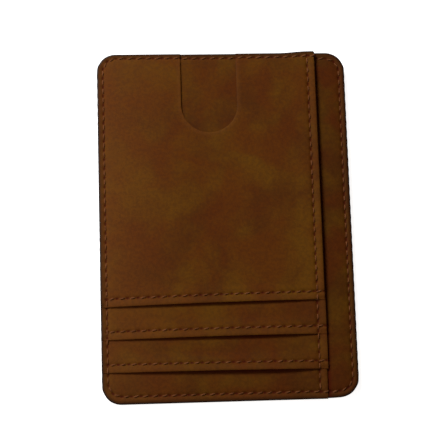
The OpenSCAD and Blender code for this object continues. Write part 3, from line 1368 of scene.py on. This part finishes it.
@dataclass
class LeatherPanel:
    """One leather layer, with its seams pressed in and its edges worked.

    Attributes:
        node: the CAD node that it stands for.
        hide: its finish.
        side: the face that it shows on.
        shown: parts of it that can be seen, as (lowest y, highest y).
        shown_x: part of it across the wallet that can be seen, as (lowest x, highest x).
        seams: seams that go through it where it shows.
        lip: its free edge, if it has one.
        mouth: the free edge of the panel over it, if one lies over it.
        holes: openings cut in it.
        trim: how much narrower than the CAD layer its right side is cut.
        outline: the rounded rectangle that its outer corners follow.
        corners: which corners are round.
    """

    node: str
    hide: Hide
    side: Side
    shown: list[tuple[float, float]]
    seams: list[Path]
    outline: Rect
    corners: list[tuple[int, int]]
    shown_x: tuple[float, float] | None = None
    lip: Lip | None = None
    mouth: Lip | None = None
    holes: list[Rect] = field(default_factory=list)
    trim: float = 0.0

    @property
    def box(self) -> Rect:
        """The panel's own box, with its trimmed right side."""
        box = Rect.of(self.node)
        return Rect(box.x0, box.y0, box.x1 - self.trim, box.y1)

    @property
    def in_stack(self) -> bool:
        """Whether the panel belongs to a card stack, whose right side is cut off straight."""
        return self.box.x1 < self.outline.x1 - MM

    def x_lines(self) -> Points:
        """Grid lines across the panel, close together at its seams and holes."""
        box = self.box
        low, high = self.shown_x or (box.x0, box.x1)
        zones = [(low, high, EVEN)]
        for x in (LAYOUT.seam_ring.x0, LAYOUT.seam_ring.x1, LAYOUT.stack_seam_x):
            if low < x < high:
                zones.append((x - SEAM_ZONE, x + SEAM_ZONE, FINE))
        zones += [(box.x0, box.x0 + EDGE_ZONE, FINE)] if low <= box.x0 else []
        zones += [(box.x1 - EDGE_ZONE, box.x1, FINE)]
        for hole in self.holes:
            zones += rim_zones(hole.x0, hole.x1)
        return graded(box.x0, box.x1, zones, HIDDEN)

    def y_lines(self) -> Points:
        """Grid lines along the panel, close together at its seams, lip and holes."""
        box = self.box
        zones = [(low, high, EVEN) for low, high in self.shown]
        rows = [LAYOUT.seam_ring.y0, LAYOUT.seam_ring.y1]
        if self.lip:
            rows.append(self.lip.y + LAYOUT.lip_inset)
            zones.append((box.y0, box.y0 + EDGE_ZONE, FINE))
        for y in rows:
            if any(low < y < high for low, high in self.shown):
                zones.append((y - SEAM_ZONE, y + SEAM_ZONE, FINE))
        for hole in self.holes:
            zones += rim_zones(hole.y0, hole.y1)
        return graded(box.y0, box.y1, zones, HIDDEN)

    def relief(self) -> Relief:
        """The worked surface of the panel."""
        box, outline = self.box, self.outline
        edges: list = [(lambda x, y: -outline.distance(x, y), *OUTER_ROUNDING)]
        if self.lip:
            edges.append((lambda x, y: y - box.y0, *FREE_ROUNDING))
        if self.in_stack:
            edges.append((lambda x, y: box.x1 - x, *FREE_ROUNDING))
        for hole in self.holes:
            edges.append((lambda x, y, hole=hole: hole.distance(x, y), *RIM_ROUNDING))
        return Relief(self.seams, edges)

    def slit_shade(self, x: Points, y: Points) -> Points:
        """How much painted shade each point of the panel takes under a pocket's lip, or beside the
        stack's right side, from 0 to 1.
        """
        if self.mouth:
            return self.mouth.slit_shade(x, y)
        if self.shown_x:
            low = 1 - ease((y - LAYOUT.stack.y0) / (30 * MM))
            past = x - LAYOUT.stack.x1 + (0.2 * low - 0.1) * MM
            return (0.8 + 0.2 * low) * (1 - ease(past / ((1.1 + 0.6 * low) * MM)))
        return np.zeros_like(x)

    def hold_lip_down(self, points: Points, inner: float) -> None:
        """Presses the ends of the free edge flat, outside the seams that hold them.

        Args:
            points: the panel's points, changed in place.
            inner: height of the panel's inner face.
        """
        x, y, z = points.T
        left, right = LAYOUT.seam_ring.x0, LAYOUT.stack_seam_x
        run, depth = 0.9 * MM, 1.6 * MM
        held = np.maximum(1 - ease((x - left + 0.7 * MM) / run), ease((x - right) / run))
        ramp = 1 - ease((y - self.box.y0) / depth)
        points[:, 2] = z - (z - inner) * HELD_SHARE * held * ramp

    def press(self, points: Points) -> Points:
        """Moves flat points to where the sewn panel lies."""
        if self.lip:
            points = self.lip.apply(points, self.side)
        if self.in_stack:
            points = opened(points, self.side)
        return PRESSING.apply(points)

    def build(self, shop: Workshop) -> None:
        """Models the panel.

        Args:
            shop: gives the finishes.
        """
        z0, z1 = height_of(self.node)
        slab = Slab(
            self.node + "_leather", self.x_lines(), self.y_lines(), z0, z1, self.side,
            self.holes, self.corners, self.outline, CUT_SOFTENING,
        )
        piece = slab.build()
        points = read_points(piece)
        x, y, z = points.T
        inner, outer = (z0, z1) if self.side is Side.FRONT else (z1, z0)
        weight = np.clip((z - inner) / (outer - inner), 0, 1)
        relief = self.relief()
        holes = relief.holes(x, y) * (weight > 0.5)
        sink = relief.groove(x, y) + STITCHING.hole * holes + relief.rounding(x, y)
        points[:, 2] -= self.side.value * np.minimum(sink, DEEPEST * (z1 - z0)) * weight
        # The needle-hole mask sinks the dimples and also paints shade into them.
        write_mask(piece, "stitch_hole_shade", holes)
        write_mask(piece, "rubbed", relief.rub(x, y) * weight)
        # painted shade under the pockets' lips and beside the stack's right side
        write_mask(piece, "painted_slit_shade", self.slit_shade(x, y) * weight)
        write_mask(piece, "waxed", bump(self.outline.distance(x, y), WAX_WIDTH))
        if self.lip:
            self.hold_lip_down(points, inner)
        self.dress(piece, shop)
        write_points(piece, self.press(points))
        smooth(piece, 48)
        shop.hand_over(piece, self.node, "brown_leather")

    def dress(self, piece: bpy.types.Object, shop: Workshop) -> None:
        """Gives the panel its leather, its painted outer edge and its raw rims."""
        for look in (self.hide, EdgePaint(), RawEdge()):
            piece.data.materials.append(shop.finish(look))
        centres = np.empty(len(piece.data.polygons) * 3)
        piece.data.polygons.foreach_get("center", centres)
        x, y = centres.reshape(-1, 3)[:, :2].T
        kind = np.full(len(x), Coat.HIDE.value, np.int32)
        kind[self.outline.distance(x, y) > -PAINT_WIDTH] = Coat.PAINT.value
        for hole in self.holes:
            rim = np.abs(hole.distance(x, y)) < RAW_WIDTH
            kind[rim & (kind == Coat.HIDE.value)] = Coat.RAW.value
        piece.data.polygons.foreach_set("material_index", kind)


@dataclass
class InnerLayer:
    """A layer inside the wallet: lining, foil, welt, tape or film.

    Attributes:
        node: the CAD node that it stands for.
        name: the piece's name.
        look: its finish.
        slot: the record's material slot.
        radius: radius of its round corners.
        corners: which corners are round.
        openings: openings cut in it.
        spacing: distance between its grid lines.
        bulge: how far its middle swells outwards at the back.
        outline: the rectangle whose corners are round, where it isn't the layer's own box.
    """

    node: str
    name: str
    look: Finish
    slot: str
    radius: float
    corners: list[tuple[int, int]]
    openings: list[Rect] = field(default_factory=list)
    spacing: float = 2.5 * MM
    bulge: float = 0.0
    outline: Rect | None = None

    def lines(self, low: float, high: float, cuts: list[float]) -> Points:
        """Grid lines that also fall on the openings' sides."""
        zones = [(low, low + self.radius, 0.9 * MM), (high - self.radius, high, 0.9 * MM)]
        zones += [(cut - 0.4 * MM, cut, 0.4 * MM) for cut in cuts if low < cut < high]
        return graded(low, high, zones, self.spacing)

    def build(self, shop: Workshop) -> bpy.types.Object:
        """Models the layer.

        Args:
            shop: gives the finishes.

        Returns:
            The finished piece.
        """
        box = Rect.of(self.node)
        z0, z1 = height_of(self.node)
        across = [x for hole in self.openings for x in (hole.x0, hole.x1)]
        along = [y for hole in self.openings for y in (hole.y0, hole.y1)]
        outline = self.outline or Rect(box.x0, box.y0, box.x1, box.y1, self.radius)
        slab = Slab(
            self.name, self.lines(box.x0, box.x1, across), self.lines(box.y0, box.y1, along),
            z0, z1, Side.FRONT, self.openings, self.corners, outline,
        )
        piece = slab.build()
        points = read_points(piece)
        if self.bulge:
            cx, cy = box.middle
            u = np.clip(np.abs(points[:, 0] - cx) / (box.x1 - cx), 0, 1)
            v = np.clip(np.abs(points[:, 1] - cy) / (box.y1 - cy), 0, 1)
            points[:, 2] -= self.bulge * (1 - u**2) * (1 - v**2)
        write_points(piece, PRESSING.apply(points))
        smooth(piece, 40)
        piece.data.materials.append(shop.finish(self.look))
        shop.hand_over(piece, self.node, self.slot)
        return piece


ALL_CORNERS = [(-1, -1), (1, -1), (1, 1), (-1, 1)]
LEFT_CORNERS = [(-1, -1), (-1, 1)]
TOP_LEFT = [(-1, 1)]


@dataclass
class FrontHalf:
    """The front: a cover with a thumb notch over two card slots, on a side pocket.

    Attributes:
        lips: the three mouths, from the cover's down.
    """

    lips: tuple[Lip, Lip, Lip] = field(
        default_factory=lambda: (
            Lip(Rect.of("front_cover").y0, 0.6 * MM, 0.95 * MM, -0.2 * MM, 0.62),
            Lip(Rect.of("front_slot_panel_2").y0, 0.85 * MM, 0.35 * MM, -0.2 * MM, 0.72),
            Lip(Rect.of("front_slot_panel_3").y0, 1.15 * MM, -0.4 * MM, -0.1 * MM, 0.74),
        )
    )

    def build(self, shop: Workshop) -> None:
        """Models the front's leather layers, from the top one down.

        Args:
            shop: gives the finishes.
        """
        stack, full, outline = LAYOUT.stack, LAYOUT.full, LAYOUT.stack_outline
        first, second, third = self.lips
        ring = SeamRing(LAYOUT.seam_ring)
        sewn: list[Path] = [ring, stack_seam()]
        through_notch = (LAYOUT.notch.y0 - UNDER, stack.y1)
        # The tones fall and the warm clouds grow from the cover down to the side pocket: painted
        # shade, darker and redder away from the light.
        panels = [
            LeatherPanel(
                "front_cover", Hide("hide_cover"), Side.FRONT, [(first.y, stack.y1)],
                sewn + [lip_seam(first)], outline, TOP_LEFT,
                lip=first, holes=[LAYOUT.notch], trim=0.4 * MM,
            ),
            LeatherPanel(
                "front_slot_panel_2", Hide("hide_slot_2", (0.07, 0.02, 0.0), 0.97), Side.FRONT,
                [(second.y, first.y + UNDER), through_notch], sewn + [lip_seam(second)],
                outline, TOP_LEFT, lip=second, mouth=first, trim=0.1 * MM,
            ),
            LeatherPanel(
                "front_slot_panel_3", Hide("hide_slot_3", (-0.05, 0.09, 0.0), 0.93, 0.8),
                Side.FRONT, [(third.y, second.y + UNDER)], sewn + [lip_seam(third)],
                outline, TOP_LEFT, lip=third, mouth=second,
            ),
            LeatherPanel(
                "front_base_panel", Hide("hide_base", (0.12, -0.06, 0.0), 0.91, 0.8), Side.FRONT,
                [(stack.y0, third.y + UNDER)], sewn, outline, LEFT_CORNERS,
                mouth=third, trim=0.35 * MM,
            ),
            LeatherPanel(
                "front_carrier", Hide("hide_strip", (-0.09, -0.04, 0.0), 0.84, 0.95), Side.FRONT,
                [(full.y0, full.y1)], [ring], full, ALL_CORNERS,
                shown_x=(stack.x1 - UNDER, full.x1),
            ),
        ]
        for panel in panels:
            panel.build(shop)


@dataclass
class BackHalf:
    """The back: a clear card window over one card slot, on a side pocket.

    Attributes:
        lips: the two mouths, the window pocket's first.
    """

    lips: tuple[Lip, Lip] = field(
        default_factory=lambda: (
            Lip(Rect.of("window_frame").y0, 0.0, 0.3 * MM, 0.1 * MM),
            Lip(Rect.of("back_slot_panel").y0, 0.12 * MM, -0.25 * MM, 0.1 * MM),
        )
    )

    @property
    def window_seam(self) -> SeamRing:
        """The seam round the window."""
        return SeamRing(LAYOUT.window.grown(LAYOUT.window_inset))

    def build(self, shop: Workshop) -> None:
        """Models the back's leather layers, from the outer one in, and its window.

        Args:
            shop: gives the finishes.
        """
        stack, full, outline = LAYOUT.stack, LAYOUT.full, LAYOUT.stack_outline
        first, second = self.lips
        ring = SeamRing(LAYOUT.seam_ring)
        sewn: list[Path] = [ring, stack_seam()]
        through_window = (LAYOUT.window.y0, LAYOUT.window.y1)
        panels = [
            LeatherPanel(
                "window_frame", Hide("hide_window_frame", (0.03, 0.14, 0.0), 0.98), Side.BACK,
                [(first.y, stack.y1)], sewn + [lip_seam(first), self.window_seam],
                outline, TOP_LEFT, lip=first, holes=[LAYOUT.window],
            ),
            LeatherPanel(
                "back_slot_panel", Hide("hide_back_slot", (0.16, 0.05, 0.0), 0.94), Side.BACK,
                [(second.y, first.y + UNDER), through_window], sewn + [lip_seam(second)],
                outline, TOP_LEFT, lip=second, mouth=first,
            ),
            LeatherPanel(
                "back_base_panel", Hide("hide_back_base", (-0.14, 0.1, 0.0), 0.94), Side.BACK,
                [(stack.y0, second.y + UNDER)], sewn, outline, LEFT_CORNERS, mouth=second,
            ),
            LeatherPanel(
                "back_carrier", Hide("hide_back_strip", (-0.02, -0.15, 0.0), 0.95), Side.BACK,
                [(full.y0, full.y1)], [ring], full, ALL_CORNERS,
                shown_x=(stack.x1 - UNDER, full.x1),
            ),
        ]
        for panel in panels:
            panel.build(shop)
        film = InnerLayer(
            "window_film", "window_film_vinyl", ClearFilm(), "clear_film",
            LAYOUT.corner - 0.8 * MM, TOP_LEFT, spacing=1.5 * MM,
        )
        film.build(shop)


@dataclass
class Core:
    """What lies between and behind the leather: linings, foils, the welt and the glue tapes.

    Attributes:
        tape: width of the tapes and the welt.
        depth: how far a card goes into its pocket.
    """

    tape: float = 3.6 * MM
    depth: float = 79 * MM

    def lining(self, half: str, shop: Workshop) -> None:
        """The cloth on the inner face of one half."""
        node = half + "_lining"
        radius = 5.4 * MM
        layer = InnerLayer(
            node, node + "_cloth", LiningCloth(), "lining_cloth", radius, ALL_CORNERS
        )
        piece = layer.build(shop)
        box = Rect.of(node)

    def foil(self, half: str, shop: Workshop) -> None:
        """The foil behind one half's lining."""
        node = half + "_shield_foil"
        radius = 2.1 * MM
        layer = InnerLayer(
            node, node + "_sheet", ShieldFoil(), "shield_foil", radius, ALL_CORNERS
        )
        layer.build(shop)

    def pocket_tape(self, node: str, shop: Workshop, extra: list[Rect] | None = None) -> None:
        """The tape along the sewn edges of a card pocket, with its stop across the top."""
        box = Rect.of(node)
        low = box.y0 - 0.3 * MM
        left, right = LAYOUT.stack.x0 + self.tape, LAYOUT.stack.x1 - self.tape
        stop = low + self.depth
        openings = [Rect(left, low - MM, right, stop)]
        top = LAYOUT.stack.y1 - self.tape
        if stop + self.tape < top:
            openings.append(Rect(left, stop + self.tape, right, top))
        outline = LAYOUT.stack_outline.grown(-0.3 * MM)
        layer = InnerLayer(
            node, node + "_strip", GlueTape(), "glue_tape", outline.radius, TOP_LEFT,
            openings + (extra or []), outline=outline,
        )
        layer.build(shop)

    def side_frame(self, node: str, name: str, look: Finish, slot: str, shop: Workshop) -> None:
        """The tape or welt round three sides of a pocket that opens to the right."""
        box = Rect.of(node)
        outer = Rect(box.x0, box.y0, LAYOUT.full.x1, box.y1, LAYOUT.corner - 0.3 * MM)
        edge = self.tape - 0.3 * MM
        opening = Rect(box.x0 + edge, box.y0 + edge, box.x1 + MM, box.y1 - edge)
        layer = InnerLayer(
            node, name, look, slot, outer.radius, LEFT_CORNERS, [opening], outline=outer
        )
        layer.build(shop)

    def build(self, shop: Workshop) -> None:
        """Models all the inner layers.

        Args:
            shop: gives the finishes.
        """
        self.lining("front", shop)
        self.lining("back", shop)
        self.foil("front", shop)
        self.foil("back", shop)
        welt = Hide("inner_hide", (0.2, 0.2, 0.0), 0.85)
        self.side_frame("centre_welt", "centre_welt_leather", welt, "inner_leather", shop)
        for node in ("front_side_pocket_tape", "back_side_pocket_tape"):
            self.side_frame(node, node + "_strip", GlueTape(), "glue_tape", shop)
        self.pocket_tape("card_pocket_1_tape", shop, [LAYOUT.notch])
        for pocket in ("card_pocket_2", "card_pocket_3", "back_card_pocket", "window_pocket"):
            self.pocket_tape(pocket + "_tape", shop)


@dataclass
class Thread:
    """A single stitch, modelled once; every seam is made of its copies.

    Attributes:
        sides: sides of the thread's cross-section.
        rings: cuts along the stitch.
        rise: how far its middle stands above its ends.
        dip: how far its ends go down into their holes.
        taper: how much of its thickness squared is lost at its ends.
        flat: its height against its width.
        wobble: how far neighbouring stitches differ in slant, in radians.
        sunk: share of the groove's depth that it lies in.
    """

    sides: int = 8
    rings: int = 6
    rise: float = 0.16 * MM
    dip: float = 0.24 * MM
    taper: float = 0.45
    flat: float = 0.8
    wobble: float = 0.05
    sunk: float = 0.7

    def build(self) -> bpy.types.Object:
        """The pattern stitch, one unit long and one unit thick, along X.

        Returns:
            The object; its mesh map runs round and along the thread.
        """
        deselect()
        bpy.ops.mesh.primitive_cylinder_add(vertices=self.sides, radius=0.5, depth=1.0)
        piece = bpy.context.object
        piece.name = "stitch_pattern"
        bpy.ops.object.mode_set(mode="EDIT")
        for i in range(1, self.rings):
            bpy.ops.mesh.select_all(action="SELECT")
            cut = i / self.rings - 0.5
            bpy.ops.mesh.bisect(plane_co=(0, 0, cut), plane_no=(0, 0, 1))
        bpy.ops.object.mode_set(mode="OBJECT")
        points = read_points(piece)
        write_points(piece, np.stack([points[:, 2], points[:, 1], -points[:, 0]], axis=1))
        piece.data.uv_layers[0].name = "thread_map"
        return piece

    def lay(self, pattern: Points, start: Points, end: Points, profile: Points,
            side: Side) -> Points:
        """Lays the pattern stitch between two needle holes.

        Args:
            pattern: points of the pattern stitch.
            start: the first end, seen from the front.
            end: the second end.
            profile: height of the leather under each pattern point.
            side: the face that the stitch is on.

        Returns:
            The stitch's points.
        """
        t = 2 * pattern[:, 0]
        along = end - start
        length = np.hypot(*along)
        along = along / length
        across = np.array([-along[1], along[0]])
        swell = np.sqrt(1 - self.taper * np.abs(t) ** 3)
        thick = STITCHING.thread * swell
        ground = start + np.outer(pattern[:, 0] + 0.5, end - start)
        ground = ground + np.outer(pattern[:, 1] * thick, across)
        lift = self.rise * (1 - t**2) - self.dip * np.abs(t) ** 5
        height = profile + side.value * (lift + pattern[:, 2] * thick * self.flat)
        return np.column_stack([ground, height])


# The leather layers of each stack, from the outer one in
STACKS = {
    Side.FRONT: ("front_cover", "front_slot_panel_2", "front_slot_panel_3", "front_base_panel"),
    Side.BACK: ("window_frame", "back_slot_panel", "back_base_panel"),
}


@dataclass
class Stitches:
    """Sews all the seams.

    Attributes:
        front: the front half, whose lips the slot seams follow.
        back: the back half.
        thread: the stitch.
    """

    front: FrontHalf
    back: BackHalf
    thread: Thread = field(default_factory=Thread)

    @staticmethod
    def surface(x: float, y: float, side: Side) -> float:
        """Height of the flat leather's outer face at a point."""
        front = side is Side.FRONT
        if x > LAYOUT.stack.x1:
            node = "front_carrier" if front else "back_carrier"
        elif front and LAYOUT.notch.distance(np.array(x), np.array(y)) < 0:
            node = "front_slot_panel_2"
        else:
            layers = STACKS[side]
            node = next((name for name in layers if y > Rect.of(name).y0), layers[-1])
        return height_of(node)[1 if front else 0]

    def profile(self, start: Points, end: Points, at: Points, side: Side) -> Points:
        """Height of a taut thread between two points of the leather, over any step between them."""
        steps = np.linspace(0, 1, 25)
        heights = np.array([self.surface(*(start + (end - start) * s), side) for s in steps])
        outward = heights * side.value
        if abs(outward[0] - outward[-1]) < 0.01 * MM:
            return np.full(len(at), heights[0])
        if outward[0] > outward[-1]:
            edge = steps[np.flatnonzero(outward >= outward[0] - 1e-6)[-1]]
            return np.interp(at, [0, edge, 1], [heights[0], heights[0], heights[-1]])
        edge = steps[np.flatnonzero(outward >= outward[-1] - 1e-6)[0]]
        return np.interp(at, [0, edge, 1], [heights[0], heights[-1], heights[-1]])

    def sew(self, name: str, runs: list[tuple[Station, Station]], side: Side, lip: Lip | None,
            shop: Workshop) -> None:
        """Makes one seam's thread from pairs of needle holes.

        Args:
            name: the CAD node that the thread stands for.
            runs: the two holes of each stitch.
            side: the face that the stitches are on.
            lip: the lip that the seam follows, if any.
            shop: gives the finishes.
        """
        pattern = self.thread.build()
        base = read_points(pattern)
        copies = []
        for number, (a, b) in enumerate(runs):
            start, end = np.array([a.x, a.y]), np.array([b.x, b.y])
            middle = (start + end) / 2
            half = (end - start) / np.hypot(*(end - start)) * STITCHING.shown / 2
            crosswise = abs(half[0]) / np.hypot(*half)
            slant = STITCHING.slant * crosswise * (1 if half[0] >= 0 else -1)
            slant += self.thread.wobble * math.sin(2.4 * number + a.x / MM)
            turn = slant * (1 if half[0] >= 0 else -1)
            cos, sin = math.cos(turn), math.sin(turn)
            half = np.array([half[0] * cos - half[1] * sin, half[0] * sin + half[1] * cos])
            first, last = middle - half, middle + half
            heights = self.profile(first, last, base[:, 0] + 0.5, side)
            heights = heights - side.value * self.thread.sunk * STITCHING.groove
            points = self.thread.lay(base, first, last, heights, side)
            if lip:
                points = lip.apply(points, side)
            if middle[0] < LAYOUT.stack.x1:
                points = opened(points, side)
            copy = pattern.copy()
            copy.data = pattern.data.copy()
            bpy.context.scene.collection.objects.link(copy)
            write_points(copy, PRESSING.apply(points))
            copies.append(copy)
        deselect()
        for copy in copies:
            copy.select_set(True)
        bpy.context.view_layer.objects.active = copies[0]
        bpy.ops.object.join()
        seam = bpy.context.object
        seam.name = seam.data.name = name + "_thread"
        bpy.data.objects.remove(pattern)
        choose(seam)
        bpy.ops.object.mode_set(mode="EDIT")
        bpy.ops.mesh.select_all(action="SELECT")
        bpy.ops.mesh.normals_make_consistent(inside=False)
        bpy.ops.object.mode_set(mode="OBJECT")
        smooth(seam, 60)
        seam.data.materials.append(shop.finish(ThreadFinish()))
        shop.hand_over(seam, name, "tan_thread")

    @staticmethod
    def pairs(path: Path) -> list[tuple[Station, Station]]:
        """The stitches of a path, as pairs of neighbouring needle holes."""
        holes = path.stations()
        return list(zip(holes, holes[1:]))

    def build(self, shop: Workshop) -> None:
        """Sews every seam.

        Args:
            shop: gives the finishes.
        """
        ring = self.pairs(SeamRing(LAYOUT.seam_ring))
        bounds = LAYOUT.seam_ring
        reach = (bounds.y1 - bounds.y0) / 2 - bounds.radius
        middle_y = bounds.middle[1]

        def at_mouth(pair: tuple[Station, Station]) -> bool:
            """Whether a stitch lies along the wallet's open side."""
            x, y = (pair[0].x + pair[1].x) / 2, (pair[0].y + pair[1].y) / 2
            return x > bounds.x1 - 0.1 * MM and abs(y - middle_y) < reach

        mouth = [pair for pair in ring if at_mouth(pair)]
        edge = [pair for pair in ring if not at_mouth(pair)]
        long_seam = self.pairs(stack_seam())
        for side, label in ((Side.FRONT, "front"), (Side.BACK, "back")):
            self.sew("edge_seam_" + label, edge, side, None, shop)
            self.sew("mouth_seam_" + label, mouth, side, None, shop)
            self.sew("stack_seam_" + label, long_seam, side, None, shop)
        halves = (("", self.front.lips, Side.FRONT), ("back_", self.back.lips, Side.BACK))
        for label, lips, side in halves:
            for number, lip in enumerate(lips, 1):
                runs = self.pairs(lip_seam(lip))
                self.sew(f"{label}slot_seam_{number}", runs, side, lip, shop)
        self.sew("window_seam", self.pairs(self.back.window_seam), Side.BACK, None, shop)


# ---------------------------------------------------------------------------
# The studio
# ---------------------------------------------------------------------------


@dataclass
class Studio:
    """A white table, soft light from the upper left, and the camera nearly overhead.

    Attributes:
        eye: where the camera stands.
        tilt: the camera's turn about X, Y and Z, in degrees.
        lens: focal length in millimetres on a 36 mm sensor.
        key_at: where the main light hangs.
        key_power: the main light's power in watts.
        key_size: side of the main light's square.
        fill_at: where the fill light hangs.
        fill_power: the fill light's power in watts.
        fill_size: side of the fill light's square.
        sky: brightness of the light from all round.
        sky_colour: its colour.
    """

    eye: tuple[float, float, float] = (-31.3 * MM, -68.3 * MM, 410.2 * MM)
    tilt: tuple[float, float, float] = (9.637, -3.991, -1.824)
    lens: float = 105.0
    key_at: tuple[float, float, float] = (-0.27, 0.4, 0.5)
    key_power: float = 3.45
    key_size: float = 0.2
    fill_at: tuple[float, float, float] = (-0.22, -0.05, 0.22)
    fill_power: float = 0.24
    fill_size: float = 0.3
    sky: float = 0.07
    sky_colour: tuple[float, float, float, float] = (1.0, 0.85, 0.7, 1.0)

    def light(self, name: str, at: tuple[float, float, float], power: float, size: float) -> None:
        """Adds a square soft light that faces the wallet."""
        data = bpy.data.lights.new(name, "AREA")
        data.energy, data.size = power, size
        lamp = bpy.data.objects.new(name, data)
        lamp.location = at
        lamp.rotation_euler = (-Vector(at)).to_track_quat("-Z", "Y").to_euler()
        bpy.context.scene.collection.objects.link(lamp)

    def build(self, shop: Workshop) -> None:
        """Sets up the table, the lights and the camera.

        Args:
            shop: gives the finishes.
        """
        scene = bpy.context.scene
        deselect()
        bpy.ops.mesh.primitive_plane_add(size=6.0, location=(0, 0, -0.02 * MM))
        table = bpy.context.object
        table.name = "studio_table"
        table.data.materials.append(shop.finish(StudioFloor()))
        self.light("key_light", self.key_at, self.key_power, self.key_size)
        self.light("fill_light", self.fill_at, self.fill_power, self.fill_size)
        world = bpy.data.worlds.new("studio_air")
        world.use_nodes = True
        light = world.node_tree.nodes["Background"].inputs
        light["Color"].default_value = self.sky_colour
        light["Strength"].default_value = self.sky
        scene.world = world
        data = bpy.data.cameras.new("studio_camera")
        data.lens, data.sensor_width = self.lens, 36.0
        data.clip_start, data.clip_end = 0.01, 20.0
        camera = bpy.data.objects.new("studio_camera", data)
        camera.location = self.eye
        camera.rotation_euler = [math.radians(angle) for angle in self.tilt]
        scene.collection.objects.link(camera)
        scene.camera = camera
        scene.view_settings.view_transform = "Standard"


def main() -> None:
    """Builds the wallet and its studio in order."""
    logging.basicConfig(level=logging.INFO, format="%(message)s")
    shop = Workshop()
    front, back = FrontHalf(), BackHalf()
    front.build(shop)
    back.build(shop)
    Core().build(shop)
    Stitches(front, back).build(shop)
    Studio().build(shop)


if __name__ == "__main__":
    main()
